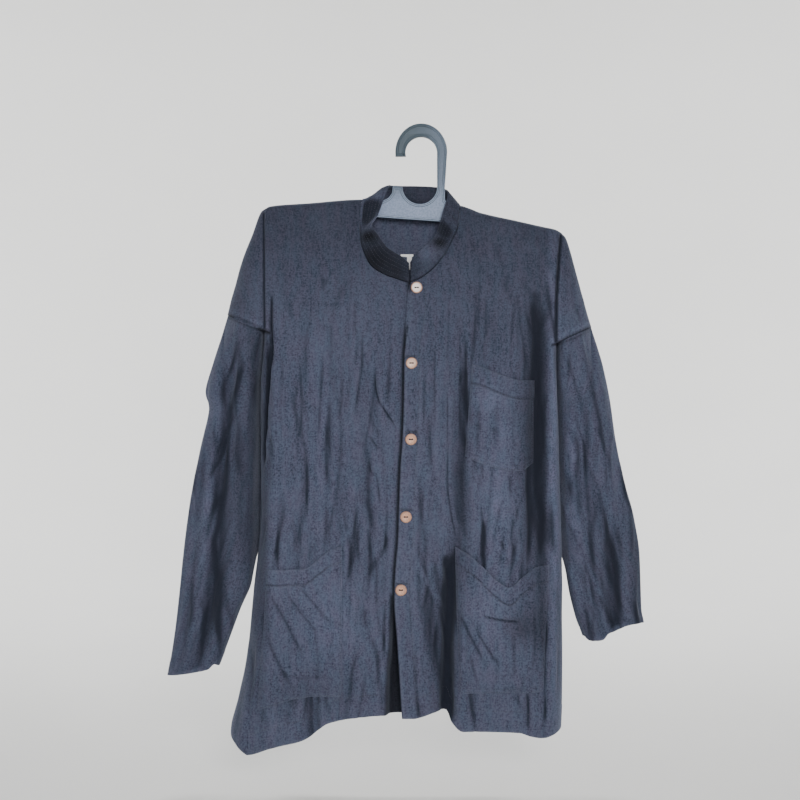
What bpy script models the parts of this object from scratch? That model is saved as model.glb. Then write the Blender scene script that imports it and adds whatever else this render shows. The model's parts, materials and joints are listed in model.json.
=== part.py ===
"""Indigo cotton work shirt hanging on a moulded coat hanger.

The shirt faces -Y and hangs down -Z. The origin is the inside top of the hanger's hook.
Tables are in millimetres, and every point is turned into metres when a mesh is made.
"""
import math
from collections import namedtuple

import bmesh
import bpy
from mathutils import Vector
from mathutils.bvhtree import BVHTree

MM = 0.001

# Cloth and seams
WALL = 1.5
COLLAR_WALL = 2.2
SEAM_HALF = 0.3
SLEEVE_SEAM = 0.5
COLLAR_SEAM = 1.2
LAP_WIDTH = 27.0
LAP_DROP = 3.2
LAP_EASE = 20.0
LAP_RUN = 15.0
PATCH_LIFT = 2.1
PATCH_REACH = 5.0

# Rounding where front and back meet
SHOULDER_ROUND = 7.0
SIDE_ROUND = 24.0
UNDERARM_ROUND = 8.0
UNDERARM_RUN = 70.0
UNDERARM_GAP = 3.2
CAP_ROUND_SHARE = 0.9
CAP_CORNER_DROP = 5.4
INSIDE = 100.0
ARMHOLE_LEVEL = -263.0
HEM_LEVEL = -780.0
SIDE_HEM_LEVEL = -790.0

# Hanger
HOOK_CENTRE = (0.3, -21.0)
HOOK_BORE = 21.0
HOOK_OUTER = (34.6, 38.5)
HOOK_END_Z = -26.1
HANGER_THICK = 7.0
HANGER_EDGE = 1.0
ARM_DROP = 1.8
SHAFT_SIDE = [(33, -50), (31.6, -70), (32, -84), (37, -93), (45, -95.5), (55, -98)]
LEFT_ARM = [70, 90, 115, 150, 170]
LEFT_TIP = [(176.5, -131), (178, -136), (175, -140.5), (168, -141)]
LOWER_EDGE = [(100, -131), (25.3, -113.3), (-60, -107.3), (-130, -108.5), (-188, -110)]
RIGHT_TIP = [(-196, -107.5), (-198, -102.5), (-195, -97.5)]
RIGHT_ARM = [-188, -150, -110, -86]
PLATE_FLANK = [(-77, -87.5), (-64, -88), (-52, -85.8), (-43.5, -81.5), (-39, -75.5), (-37.6, -66)]
NOTCH_CENTRE = (-1.6, -66.7)
NOTCH_RADIUS = 23.0
WELD = 0.01

# Buttons
BUTTON_DIAMETER = 15.0
BUTTON_THICK = 2.8
BUTTON_EDGE = 0.8
BUTTON_RIM = 1.6
BUTTON_SIDES = 20
BUTTON_DISH = 0.7
BUTTON_HOLE = 1.9
BUTTON_HOLE_PITCH = 3.6
BUTTON_GAP = 0.4

Sides = namedtuple("Sides", "z left right")
BODY_SIDES = [
    Sides(-263, -207.5, 179.5), Sides(-290, -209.5, 179.3), Sides(-330, -213, 180),
    Sides(-365, -213.5, 181.3), Sides(-420, -212.6, 183), Sides(-464, -212.5, 184),
    Sides(-500, -213.2, 185), Sides(-550, -216.5, 186.5),
    Sides(-590, -220.5, 187), Sides(-632, -225, 187), Sides(-683, -230, 187.5),
    Sides(-743, -242, 187), Sides(-790, -252, 185), Sides(-820, -250, 183),
]
CAP_SIDES = [
    Sides(-92, -203, 180), Sides(-96, -209.3, 183), Sides(-102.7, -214, 185),
    Sides(-128.5, -223.5, 187.5), Sides(-135, -226, 192.5), Sides(-152, -233, 198.3),
    Sides(-174, -240.5, 204.3), Sides(-198.5, -247, 210.8), Sides(-220, -253.2, 216.5),
    Sides(-239, -257.6, 221.8), Sides(-254, -261.3, 226.5),
]

Crest = namedtuple("Crest", "x z")
SHOULDER = [
    Crest(-214, -99.8), Crest(-209.3, -96.6), Crest(-198, -92.5), Crest(-150, -89),
    Crest(-79, -84), Crest(52, -92), Crest(79, -101.5), Crest(130, -113), Crest(160, -119.8),
    Crest(178, -123.8), Crest(187, -127.4),
]
ARMHOLE_LEFT = (Crest(-199, -263), Crest(-257, -238))
ARMHOLE_RIGHT = (Crest(171.5, -280), Crest(226, -254))

Depth = namedtuple("Depth", "below front back")
DEPTHS = [
    Depth(0, 8.5, 8.5), Depth(12, 11, 11.5), Depth(30, 14, 15), Depth(60, 20, 18),
    Depth(100, 27, 21), Depth(160, 33, 24), Depth(300, 39, 27), Depth(450, 38, 27),
    Depth(600, 41, 28), Depth(700, 46, 30),
]
FOLD_FADE = (0.2, 0.12)
SIDE_FOLD_FADE = 0.6
NECK_CENTRE = -14
NECK_FRONT_BULGE = (-14, -200, 60, 50, 9)
NECK_BACK_BULGE = (-13, -97, 42, 55, 9)

# Edge of the upper front, from the collar down
Edge = namedtuple("Edge", "z x")
CENTRE_EDGE = [
    Edge(-198, -15), Edge(-231, -15), Edge(-265, -20), Edge(-297, -22.8), Edge(-348, -23.4),
    Edge(-397, -25), Edge(-442, -28), Edge(-486, -29.7), Edge(-529, -31), Edge(-585, -35.3),
    Edge(-611, -35.8), Edge(-663, -32.2), Edge(-709, -29.3), Edge(-745, -27), Edge(-765, -25.4),
]
# Fold of the under front below the last button
UNDER_FOLD = [Edge(-600, -41.8), Edge(-663, -43.6), Edge(-722, -47.5), Edge(-765, -49)]
UNDER_FOLD_STEP = 15.0
UNDER_FOLD_WIDTH = 7.0
UNDER_FOLD_RUN = 60.0

RIGHT_HEM = [
    Crest(-252, -791), Crest(-247, -803), Crest(-226, -810), Crest(-196, -800.5),
    Crest(-160, -794), Crest(-144, -788), Crest(-122, -770), Crest(-95, -764),
    Crest(-49, -760), Crest(2, -760),
]
LEFT_HEM = [
    Crest(-25.4, -764), Crest(-10.5, -764), Crest(17.5, -756), Crest(32, -753),
    Crest(38, -767), Crest(54, -779.5), Crest(94, -781), Crest(127, -782.5),
    Crest(142, -787), Crest(156, -789), Crest(172, -787), Crest(183, -782), Crest(186, -781),
]
BACK_HEM = [
    Crest(-252, -791), Crest(-240, -800), Crest(-200, -790), Crest(-120, -768),
    Crest(-20, -764), Crest(60, -770), Crest(140, -776), Crest(186, -781),
]

Station = namedtuple("Station", "seam_x seam_z top_x top_y top_z")
NECK_LEFT = [
    Station(-15.6, -197.6, -16.6, -29, -171.5), Station(-33.2, -193, -25.4, -29, -163.5),
    Station(-52.8, -185, -36, -29, -157), Station(-67, -174, -44.5, -28, -151),
    Station(-76, -156, -56.8, -25, -134.5), Station(-80.5, -140, -64.8, -21, -120.5),
    Station(-81.5, -119, -58.4, -14.5, -105), Station(-79.5, -89, -46, -4.5, -75),
    Station(-79, -84, -41.5, 1, -66),
]
NECK_BACK = [
    Station(-73, -84.8, -39.5, 5.5, -64.8), Station(-66, -86.5, -36.5, 9, -64),
    Station(-45, -91, -28, 15, -62.8),
    Station(-12, -95, -11.8, 17, -62.5), Station(18, -95, 9.7, 15, -63.5),
    Station(40, -93.5, 26, 9.5, -66.4), Station(47, -92.6, 32, 6, -69),
]
NECK_RIGHT = [
    Station(52, -92, 35.5, 1, -72.5), Station(52, -97, 35, -5, -81),
    Station(49.2, -121, 28, -14, -104), Station(41.7, -140, 24, -21, -123),
    Station(29.7, -161.7, 12.7, -26, -142), Station(13.8, -180.8, 0.8, -29, -153),
    Station(-1.9, -192.7, -8.6, -30, -161.5), Station(-14.0, -197.6, -14.6, -31, -171.3),
]

# Soft folds: a trough has a positive depth, and a ridge a negative one
Fold = namedtuple("Fold", "x_top z_top x_low z_low half depth")
FRONT_FOLDS = [
    Fold(160, -170, 158, -575, 10, 13), Fold(-197.5, -262, -206, -440, 5, 10),
    Fold(40, -535, 33, -775, 12, 14), Fold(56, -640, 52, -790, 16, -5),
    Fold(-150, -300, -158, -560, 16, -4), Fold(-122, -220, -130, -520, 14, 4),
    Fold(-95, -200, -100, -740, 18, -4), Fold(-62, -230, -72, -700, 14, 5),
    Fold(-196, -640, -205, -815, 22, -9), Fold(-143, -690, -140, -800, 11, 9),
    Fold(22, -230, 16, -500, 16, -4), Fold(48, -260, 44, -480, 11, 5),
    Fold(96, -460, 100, -570, 24, -4), Fold(120, -600, 118, -730, 22, -5),
]
BACK_FOLDS = [
    Fold(-120, -180, -140, -790, 26, 9), Fold(-60, -200, -70, -780, 24, -8),
    Fold(-5, -190, -2, -780, 20, 9), Fold(55, -210, 62, -780, 24, -8),
    Fold(112, -180, 120, -790, 22, 9), Fold(-175, -300, -195, -800, 20, -6),
    Fold(158, -300, 162, -780, 14, -6),
]

Section = namedtuple("Section", "inner_x inner_z outer_x outer_z front back")
RIGHT_SLEEVE = [
    Section(-209.8, -259.3, -257, -238.7, 30, 23), Section(-214.5, -286, -265, -266, 27, 22),
    Section(-217, -318, -276.5, -302, 24, 21), Section(-218.5, -351, -286.5, -340, 23, 20),
    Section(-219, -372, -282, -362, 23, 20), Section(-219.5, -417, -293.5, -416, 23, 20),
    Section(-219.5, -484, -307, -486, 23, 19), Section(-221, -548, -316, -555, 22, 18),
    Section(-226, -591, -321, -605, 21, 17), Section(-241, -628, -326, -649, 19, 15),
    Section(-256, -668, -331, -684, 17, 14), Section(-269, -701, -337, -717, 15, 13),
]
LEFT_SLEEVE = [
    Section(181.8, -275.2, 226.2, -254, 31, 24), Section(183, -318, 240.5, -301, 24, 21),
    Section(184.6, -364, 251, -350, 22, 19), Section(186.5, -417, 258.5, -403, 21, 19),
    Section(188, -471, 269.5, -457, 22, 19), Section(190, -517, 282.5, -505, 22, 18),
    Section(192, -561, 290.5, -557, 21, 17), Section(197, -600, 292, -600, 19, 16),
    Section(208, -645, 293, -628, 16, 14), Section(216, -673, 296, -647, 14, 12),
]
# Points round a sleeve: front ones have a negative depth. The inner edge lies behind the body.
Ring = namedtuple("Ring", "share depth inward behind")
SLEEVE_RING = [
    Ring(0, -0.12, 6.5, 23), Ring(0.012, -0.34, 4, 21), Ring(0.03, -0.55, 1.8, 14),
    Ring(0.055, -0.70, 0.5, 7), Ring(0.12, -0.84, 0, 2), Ring(0.22, -0.94, 0, 0),
    Ring(0.34, -0.99, 0, 0), Ring(0.46, -1, 0, 0), Ring(0.58, -0.98, 0, 0),
    Ring(0.70, -0.90, 0, 0), Ring(0.81, -0.77, 0, 0), Ring(0.90, -0.57, 0, 0),
    Ring(0.965, -0.34, 0, 0), Ring(1, -0.10, 0, 0), Ring(1, 0.10, 0, 0),
    Ring(0.95, 0.40, 0, 0), Ring(0.85, 0.68, 0, 0), Ring(0.69, 0.90, 0, 0),
    Ring(0.50, 1, 0, 0), Ring(0.30, 0.97, 0, 0), Ring(0.14, 0.80, 0.5, 5),
    Ring(0.04, 0.42, 3, 16), Ring(0, 0.12, 6.5, 23),
]
Tuck = namedtuple("Tuck", "v amount")
RIGHT_TUCK = [Tuck(0, 0), Tuck(0.09, 0), Tuck(0.24, 1), Tuck(0.58, 1), Tuck(0.72, 0), Tuck(1, 0)]
LEFT_TUCK = [Tuck(0, 0), Tuck(0.09, 0), Tuck(0.24, 1), Tuck(0.6, 1), Tuck(0.74, 0), Tuck(1, 0)]
# Rise of the cuff's edge along its width
Cuff = namedtuple("Cuff", "share rise")
RIGHT_CUFF = [Cuff(0, -2), Cuff(0.08, 2), Cuff(0.2, -3), Cuff(0.45, -2.5), Cuff(1, 0)]
LEFT_CUFF = [Cuff(0, 9), Cuff(0.1, 2), Cuff(0.3, -3), Cuff(0.4, 3), Cuff(0.65, 5.5),
             Cuff(0.9, 3), Cuff(1, 0)]
CUFF_START = 0.86
CAP_BLEND = 0.2

# Sleeve folds run down the sleeve: share 0 is the inner edge and 1 the outer one
SleeveFold = namedtuple("SleeveFold", "share_top v_top share_low v_low half depth")
RIGHT_SLEEVE_FOLDS = [
    SleeveFold(0.60, 0.03, 0.46, 0.98, 0.15, 11), SleeveFold(0.86, 0.35, 0.80, 0.98, 0.08, 5),
]
LEFT_SLEEVE_FOLDS = [
    SleeveFold(0.32, 0.10, 0.36, 0.60, 0.13, 5), SleeveFold(0.62, 0.52, 0.52, 0.98, 0.12, 9),
    SleeveFold(0.26, 0.62, 0.30, 0.98, 0.10, 6),
]
BACK_SLEEVE_FOLDS = [SleeveFold(0.45, 0.05, 0.5, 0.98, 0.16, 7)]

# A patch pocket: mouth and foot from its inner to its outer edge, as shares of its width
Pocket = namedtuple("Pocket", "left_top right_top left_low right_low mouth foot sag")
POCKETS = {
    "pocket_chest": Pocket(66, 148, 57, 146, [-304, -309, -316, -322, -325, -325],
                           [-424, -432, -438, -442, -443, -433], 1.0),
    "pocket_low_left": Pocket(44, 166, 49, 158, [-542, -552, -567, -584, -594, -581, -568, -565],
                              [-730, -731, -731, -731, -731, -731, -731, -729], 2.4),
    "pocket_low_right": Pocket(-201, -103, -212, -104, [-571, -572, -571, -570, -559, -546, -540],
                               [-750, -746, -741, -738, -737, -736, -735], 1.6),
}

Place = namedtuple("Place", "x z")
BUTTONS = [Place(-6.4, -204.4), Place(-13, -302.6), Place(-13.7, -401.8),
           Place(-20.2, -502.8), Place(-26.7, -597.7)]
LABEL_BOX = (-27, -10, -175, -154)
LABEL_THICK = 0.9
LABEL_REACH = 4.0

# Mesh density, and how the columns fan out from the neck
FAN_AWAY = 4
FAN_IN = 1.3
UPPER_ROWS = [0, 0.007, 0.026, 0.06, 0.13, 0.25, 0.42, 0.68, 1.0]
LOWER_ROWS = 18
SIDE_SHARES = [0.66, 0.36, 0.13, 0.03, 0]
SLEEVE_ROWS = 20
COLLAR_STEPS = 2
COLLAR_HEIGHTS = (0.0, 0.5, 1.0)
POCKET_STEPS = 9
ARC_STEPS = 14
HOLE_SIDES = 10
RAY_START = -200.0

COLOURS = {
    "cloth": ((0.034, 0.040, 0.062), 0.88),
    "cloth_fine": ((0.030, 0.036, 0.056), 0.85),
    "button": ((0.42, 0.28, 0.21), 0.45),
    "plastic": ((0.16, 0.20, 0.26), 0.38),
    "label": ((0.75, 0.75, 0.76), 0.8),
}


def smooth(value):
    """Ease a share from 0 to 1."""
    t = min(max(value, 0.0), 1.0)
    return t * t * (3.0 - 2.0 * t)


def mix(a, b, share):
    return a + (b - a) * share


def bend_through(points, at):
    """Height of the smooth curve, without overshoot, through (place, height) points."""
    points = sorted(points)
    if at <= points[0][0]:
        return points[0][1]
    if at >= points[-1][0]:
        return points[-1][1]
    k = next(i for i in range(len(points) - 1) if points[i + 1][0] >= at)

    def slope(i):
        return (points[i + 1][1] - points[i][1]) / (points[i + 1][0] - points[i][0])

    def tangent(i):
        if i == 0:
            return slope(0)
        if i == len(points) - 1:
            return slope(i - 1)
        before, after = slope(i - 1), slope(i)
        return 0.0 if before * after <= 0 else 2 * before * after / (before + after)

    width = points[k + 1][0] - points[k][0]
    t = (at - points[k][0]) / width
    h00, h10 = (1 + 2 * t) * (1 - t) ** 2, t * (1 - t) ** 2
    h01, h11 = t * t * (3 - 2 * t), t * t * (t - 1)
    return (h00 * points[k][1] + h10 * width * tangent(k)
            + h01 * points[k + 1][1] + h11 * width * tangent(k + 1))


def column(table, key, value, at):
    """Read one named column of a table at a place along another."""
    return bend_through([(getattr(row, key), getattr(row, value)) for row in table], at)


def shoulder_z(x):
    return column(SHOULDER, "x", "z", x)


def bulge(x, z, place):
    centre_x, centre_z, half_x, half_z, height = place
    return height * math.exp(-((x - centre_x) / half_x) ** 2 - ((z - centre_z) / half_z) ** 2)


def fold_depth(folds, x, z):
    """Sum of the soft folds at a point, each fading at its two ends."""
    total = 0.0
    for fold in folds:
        run = (fold.z_top - z) / (fold.z_top - fold.z_low)
        if not 0.0 < run < 1.0:
            continue
        across = (x - mix(fold.x_top, fold.x_low, run)) / fold.half
        fade = smooth(run / FOLD_FADE[0]) * smooth((1 - run) / FOLD_FADE[1])
        total += fold.depth * fade * math.exp(-across * across)
    return total


def rounding(distance, radius):
    """Share of full depth at a distance in from a rounded edge."""
    q = min(max(distance / radius, 0.0), 1.0)
    return math.sqrt(1.0 - (1.0 - q) ** 2)


def side_round(z):
    return mix(UNDERARM_ROUND, SIDE_ROUND, smooth((ARMHOLE_LEVEL - z) / UNDERARM_RUN))


def panel_y(x, z, front, side_distance=INSIDE, side_radius=SIDE_ROUND):
    """Place of the cloth from front to back: the front lies at -Y, the back at +Y."""
    below = max(shoulder_z(x) - z, 0.0)
    depth = column(DEPTHS, "below", "front" if front else "back", below)
    depth += bulge(x, z, NECK_FRONT_BULGE if front else NECK_BACK_BULGE)
    folds = fold_depth(FRONT_FOLDS if front else BACK_FOLDS, x, z)
    side = rounding(side_distance, side_radius)
    folds *= min(side_distance / (SIDE_FOLD_FADE * side_radius), 1.0)
    depth = (depth - folds) * side * rounding(below, SHOULDER_ROUND)
    return -depth - SEAM_HALF if front else depth + SEAM_HALF


def centre_x(z):
    return column(CENTRE_EDGE, "z", "x", z)


def under_front_y(x, z, y):
    """Sink the under front where the other front laps over it, and fold it back at the foot."""
    lap = smooth((x - centre_x(z) + LAP_EASE) / LAP_RUN)
    y += LAP_DROP * lap
    if z < UNDER_FOLD[0].z:
        past = smooth((x - column(UNDER_FOLD, "z", "x", z)) / UNDER_FOLD_WIDTH)
        y += UNDER_FOLD_STEP * past * smooth((UNDER_FOLD[0].z - z) / UNDER_FOLD_RUN)
    return y


Column = namedtuple("Column", "top_x top_z share side")


def side_x(z, left):
    return column(BODY_SIDES, "z", "left" if left else "right", z)


def turn_x(z, left):
    """Where the flat of the body turns towards the side seam."""
    return side_x(z, left) + (side_round(z) if left else -side_round(z))


def spread(first, last, steps):
    return [mix(first, last, k / steps) for k in range(steps + 1)]


class Panel:
    """A front or the back as one surface, lofted down from its shoulder and neck edge.

    Upper rows run from the top edge to the armhole level and take in the dropped shoulder.
    Lower rows run on to the hem and turn round to the side seam.
    """

    def __init__(self, front, tops, edge_left, edge_right, hem, caps, dress):
        self.front = front
        self.tops = tops
        self.edges = (edge_left, edge_right)
        self.hem = hem
        self.caps = caps
        self.dress = dress
        self.points = []
        self.faces = []

    def add(self, x, z, side_distance=INSIDE, radius=SIDE_ROUND):
        y = panel_y(x, z, self.front, side_distance, radius)
        y = self.dress(x, z, y)
        self.points.append((x, y, z))
        return len(self.points) - 1

    def level_z(self, x):
        span = ARMHOLE_RIGHT[0].x - ARMHOLE_LEFT[0].x
        share = (x - ARMHOLE_LEFT[0].x) / span
        return mix(ARMHOLE_LEFT[0].z, ARMHOLE_RIGHT[0].z, min(max(share, 0.0), 1.0))

    def main_x(self, share, z):
        return mix(self.edges[0](z), self.edges[1](z), share)

    def main_columns(self):
        """Grid of point numbers of the flat part, one list per column, top to hem."""
        count = len(self.tops) - 1
        columns = []
        for i, top in enumerate(self.tops):
            share = i / count
            level = self.level_z(self.main_x(share, ARMHOLE_LEVEL))
            low_x = self.main_x(share, level)
            line = []
            for v in UPPER_ROWS:
                away = abs(low_x - NECK_CENTRE) > abs(top[0] - NECK_CENTRE)
                fan = 1.0 - (1.0 - v) ** FAN_AWAY if away else v ** FAN_IN
                x = mix(top[0], low_x, fan)
                line.append(self.add(x, mix(top[1], level, v)))
            foot = self.main_x(share, HEM_LEVEL)
            foot_z = column(self.hem, "x", "z", foot)
            for w in spread(0, 1, LOWER_ROWS)[1:]:
                z = mix(level, foot_z, w)
                line.append(self.add(self.main_x(share, z), z))
            columns.append(line)
        return columns

    def cap_columns(self, left, first):
        """Dropped shoulder, from the fold above the sleeve out to the shoulder's outline."""
        seam = ARMHOLE_LEFT if left else ARMHOLE_RIGHT
        outline_key = "left" if left else "right"
        columns = []
        for share in SIDE_SHARES:
            reach = 1.0 - share
            line = []
            for row, v in enumerate(UPPER_ROWS):
                start = self.points[first[row]]
                top_z = mix(start[2], start[2] - CAP_CORNER_DROP * (1 - v), reach)
                z = mix(top_z, top_z + (seam[1].z - seam[0].z) * smooth(v), reach)
                out = column(CAP_SIDES, "z", outline_key, z)
                x = mix(start[0], out, reach)
                radius = max(abs(out - start[0]) * CAP_ROUND_SHARE, 2.0)
                line.append(self.add(x, z, abs(out - x), radius))
            columns.append(line)
        return columns

    def wrap_columns(self, left, first):
        """Side of the body below the armhole, turning round to the side seam."""
        seam = ARMHOLE_LEFT if left else ARMHOLE_RIGHT
        slope = (seam[1].z - seam[0].z) / (seam[1].x - seam[0].x)
        hem_z = column(self.hem, "x", "z", side_x(SIDE_HEM_LEVEL, left))
        columns = []
        for share in SIDE_SHARES:
            line = []
            for row in range(len(UPPER_ROWS) - 1, len(first)):
                z = self.points[first[row]][2]
                foot = (row - len(UPPER_ROWS) + 1) / LOWER_ROWS
                z += (hem_z - self.points[first[-1]][2]) * (1 - share) * foot ** 3
                radius = side_round(z)
                x = side_x(z, left) + radius * share * (1 if left else -1)
                if row == len(UPPER_ROWS) - 1:
                    z += slope * (x - seam[0].x) - UNDERARM_GAP
                line.append(self.add(x, z, radius * share, radius))
            columns.append(line)
        return columns

    def skin(self, columns, flip):
        for a, b in zip(columns, columns[1:]):
            for k in range(len(a) - 1):
                face = [a[k], a[k + 1], b[k + 1], b[k]]
                self.faces.append(face[::-1] if flip else face)

    def build(self):
        main = self.main_columns()
        flip = not self.front
        self.skin(main, flip)
        level = len(UPPER_ROWS) - 1
        if "left" in self.caps:
            self.skin([main[0][:level + 1]] + self.cap_columns(True, main[0]), not flip)
            self.skin([main[0][level:]] + self.wrap_columns(True, main[0]), not flip)
        if "right" in self.caps:
            self.skin([main[-1][:level + 1]] + self.cap_columns(False, main[-1]), flip)
            self.skin([main[-1][level:]] + self.wrap_columns(False, main[-1]), flip)
        return self.points, self.faces


def shoulder_tops(xs):
    return [(x, shoulder_z(x)) for x in xs]


def seam_tops(stations):
    return [(row.seam_x, row.seam_z) for row in stations]


def unchanged(x, z, y):
    return y


def front_right_panel():
    """Wearer's right front: it lies under the other one along the centre."""
    tops = shoulder_tops([-203, -186, -168, -150, -132, -114, -96]) + seam_tops(NECK_LEFT[::-1])
    tops.append((centre_x(-200) + LAP_WIDTH, -201))
    return Panel(True, tops, lambda z: turn_x(z, True), lambda z: centre_x(z) + LAP_WIDTH,
                 RIGHT_HEM, ("left",), under_front_y).build()


def front_left_panel():
    """Wearer's left front: its edge shows down the centre."""
    tops = seam_tops(NECK_RIGHT[::-1]) + shoulder_tops([68, 86, 104, 122, 140, 156, 168, 178])
    return Panel(True, tops, centre_x, lambda z: turn_x(z, False),
                 LEFT_HEM, ("right",), unchanged).build()


def back_panel():
    left = shoulder_tops([-203, -186, -166, -145, -122, -100])
    right = shoulder_tops([70, 90, 110, 130, 148, 164, 178])
    neck = [NECK_LEFT[-1]] + NECK_BACK + [NECK_RIGHT[0]]
    tops = left + seam_tops(neck) + right
    return Panel(False, tops, lambda z: turn_x(z, True), lambda z: turn_x(z, False),
                 BACK_HEM, ("left", "right"), unchanged).build()


def sleeve_points(sections, folds, tucks, cuffs, seam, cap_key):
    """Rings of a flattened tube from the armhole seam to the cuff."""
    rows = []
    count = len(sections) - 1
    inside = 1 if cap_key == "left" else -1
    for row in range(SLEEVE_ROWS + 1):
        v = row / SLEEVE_ROWS
        place = {key: bend_through([(i, getattr(s, key)) for i, s in enumerate(sections)],
                                   v * count) for key in Section._fields}
        tuck = column(tucks, "v", "amount", v)
        ring = []
        for spot in SLEEVE_RING:
            front = spot.depth < 0
            x = mix(place["inner_x"], place["outer_x"], spot.share)
            x += inside * spot.inward * tuck * tuck
            z = mix(place["inner_z"], place["outer_z"], spot.share)
            cuff = smooth((v - CUFF_START) / (1 - CUFF_START))
            z += column(cuffs, "share", "rise", spot.share) * cuff
            own = place["front" if front else "back"]
            own -= sleeve_fold(folds if front else BACK_SLEEVE_FOLDS, spot.share, v)
            y = own * spot.depth + spot.behind * tuck
            if v < CAP_BLEND:
                out = column(CAP_SIDES, "z", cap_key, z)
                cap = panel_y(x, z, front, abs(out - x), abs(out - seam[0].x) * CAP_ROUND_SHARE)
                y = mix(cap * min(abs(spot.depth) * 1.05, 1.0), y, smooth(v / CAP_BLEND))
                z -= SLEEVE_SEAM * (1 - v / CAP_BLEND)
            ring.append((x, y, z))
        rows.append(ring)
    return rows


def sleeve_fold(folds, share, v):
    total = 0.0
    for fold in folds:
        run = (v - fold.v_top) / (fold.v_low - fold.v_top)
        if not 0.0 < run < 1.0:
            continue
        across = (share - mix(fold.share_top, fold.share_low, run)) / fold.half
        fade = smooth(run / 0.25) * smooth((1.1 - run) / 0.2)
        total += fold.depth * fade * math.exp(-across * across)
    return total


def loft(rows, closed, flip=False):
    """Quads between rows of points; a closed row joins its last point to its first."""
    points = [point for row in rows for point in row]
    width = len(rows[0])
    faces = []
    for r in range(len(rows) - 1):
        for k in range(width if closed else width - 1):
            after = (k + 1) % width
            a, b = r * width + k, r * width + after
            face = [a, b, b + width, a + width]
            faces.append(face[::-1] if flip else face)
    return points, faces


def collar_rows():
    """The standing band from its neck seam up to its top edge, end to end round the neck."""
    around = [(row, True) for row in NECK_LEFT]
    around += [(row, False) for row in NECK_BACK]
    around += [(row, row is not NECK_RIGHT[0]) for row in NECK_RIGHT]
    seams, tops = [], []
    for row, faces_front in around:
        y = panel_y(row.seam_x, row.seam_z, faces_front)
        if row in (NECK_LEFT[-1], NECK_RIGHT[0]):
            y = 0.0
        seam = Vector((row.seam_x, y, row.seam_z))
        top = Vector((row.top_x, row.top_y, row.top_z))
        seams.append(seam + (top - seam).normalized() * COLLAR_SEAM)
        tops.append(top)
    count = (len(around) - 1) * COLLAR_STEPS
    rows = []
    for height in COLLAR_HEIGHTS:
        line = []
        for k in range(count + 1):
            low = curve_point(seams, k / COLLAR_STEPS)
            high = curve_point(tops, k / COLLAR_STEPS)
            line.append(tuple(low.lerp(high, height)))
        rows.append(line)
    return rows


def curve_point(points, at):
    """Point of the curve through a list of points, at a place counted in points."""
    return Vector([bend_through([(i, p[axis]) for i, p in enumerate(points)], at)
                   for axis in range(3)])


def facets(surface):
    """A surface's own facets, to lay other pieces on."""
    points, faces = surface
    return BVHTree.FromPolygons([Vector(point) for point in points], faces)


def nearest_y(carrier, x, z, reach):
    """Most forward place of the carrying cloth within a reach of one point."""
    found = []
    for dx in (-reach, 0.0, reach):
        for dz in (-reach, 0.0, reach):
            hit = carrier.ray_cast(Vector((x + dx, RAY_START, z + dz)), Vector((0, 1, 0)))[0]
            if hit:
                found.append(hit.y)
    return min(found)


def pocket_rows(pocket, carrier):
    """A patch laid on the front and lifted off it, sagging a little at its mouth."""
    grid = []
    steps = len(pocket.mouth) - 1
    mouth = [(k / steps, z) for k, z in enumerate(pocket.mouth)]
    steps = len(pocket.foot) - 1
    foot = [(k / steps, z) for k, z in enumerate(pocket.foot)]
    for v in spread(0, 1, POCKET_STEPS):
        line = []
        for u in spread(0, 1, POCKET_STEPS):
            x = mix(mix(pocket.left_top, pocket.right_top, u),
                    mix(pocket.left_low, pocket.right_low, u), v)
            z = mix(bend_through(mouth, u), bend_through(foot, u), v)
            sag = pocket.sag * math.sin(math.pi * u) * smooth(1.0 - v)
            line.append((x, nearest_y(carrier, x, z, PATCH_REACH) - PATCH_LIFT - sag, z))
        grid.append(line)
    return grid


def clear_scene():
    for item in list(bpy.data.objects):
        bpy.data.objects.remove(item, do_unlink=True)
    for block in (bpy.data.meshes, bpy.data.curves, bpy.data.materials):
        for item in list(block):
            block.remove(item)


def make_collection(name):
    group = bpy.data.collections.new(name)
    bpy.context.scene.collection.children.link(group)
    return group


def make_material(name):
    colour, rough = COLOURS[name]
    material = bpy.data.materials.new(name)
    material.use_nodes = True
    shader = material.node_tree.nodes["Principled BSDF"]
    shader.inputs["Base Color"].default_value = (*colour, 1.0)
    shader.inputs["Roughness"].default_value = rough
    shader.inputs["Metallic"].default_value = 0.0
    return material


def surface_object(name, points, faces, group, material):
    mesh = bpy.data.meshes.new(name)
    mesh.from_pydata([tuple(value * MM for value in point) for point in points], [], faces)
    mesh.validate()
    mesh.update()
    mesh.shade_smooth()
    mesh.materials.append(material)
    item = bpy.data.objects.new(name, mesh)
    group.objects.link(item)
    return item


def cloth_object(name, surface, group, material, thickness=WALL):
    """An open surface given its cloth thickness, half to each side."""
    item = surface_object(name, surface[0], surface[1], group, material)
    wall = item.modifiers.new("cloth", "SOLIDIFY")
    wall.thickness = thickness * MM
    wall.offset = 0.0
    wall.use_rim = True
    return item


def arc(centre, radii, start, end, steps):
    """Points of an elliptical arc, in degrees, ends included."""
    points = []
    for k in range(steps + 1):
        angle = math.radians(mix(start, end, k / steps))
        points.append((centre[0] + radii[0] * math.cos(angle),
                       centre[1] + radii[1] * math.sin(angle)))
    return points


def arm_top(xs):
    return [(x, shoulder_z(x) - ARM_DROP) for x in xs]


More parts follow.
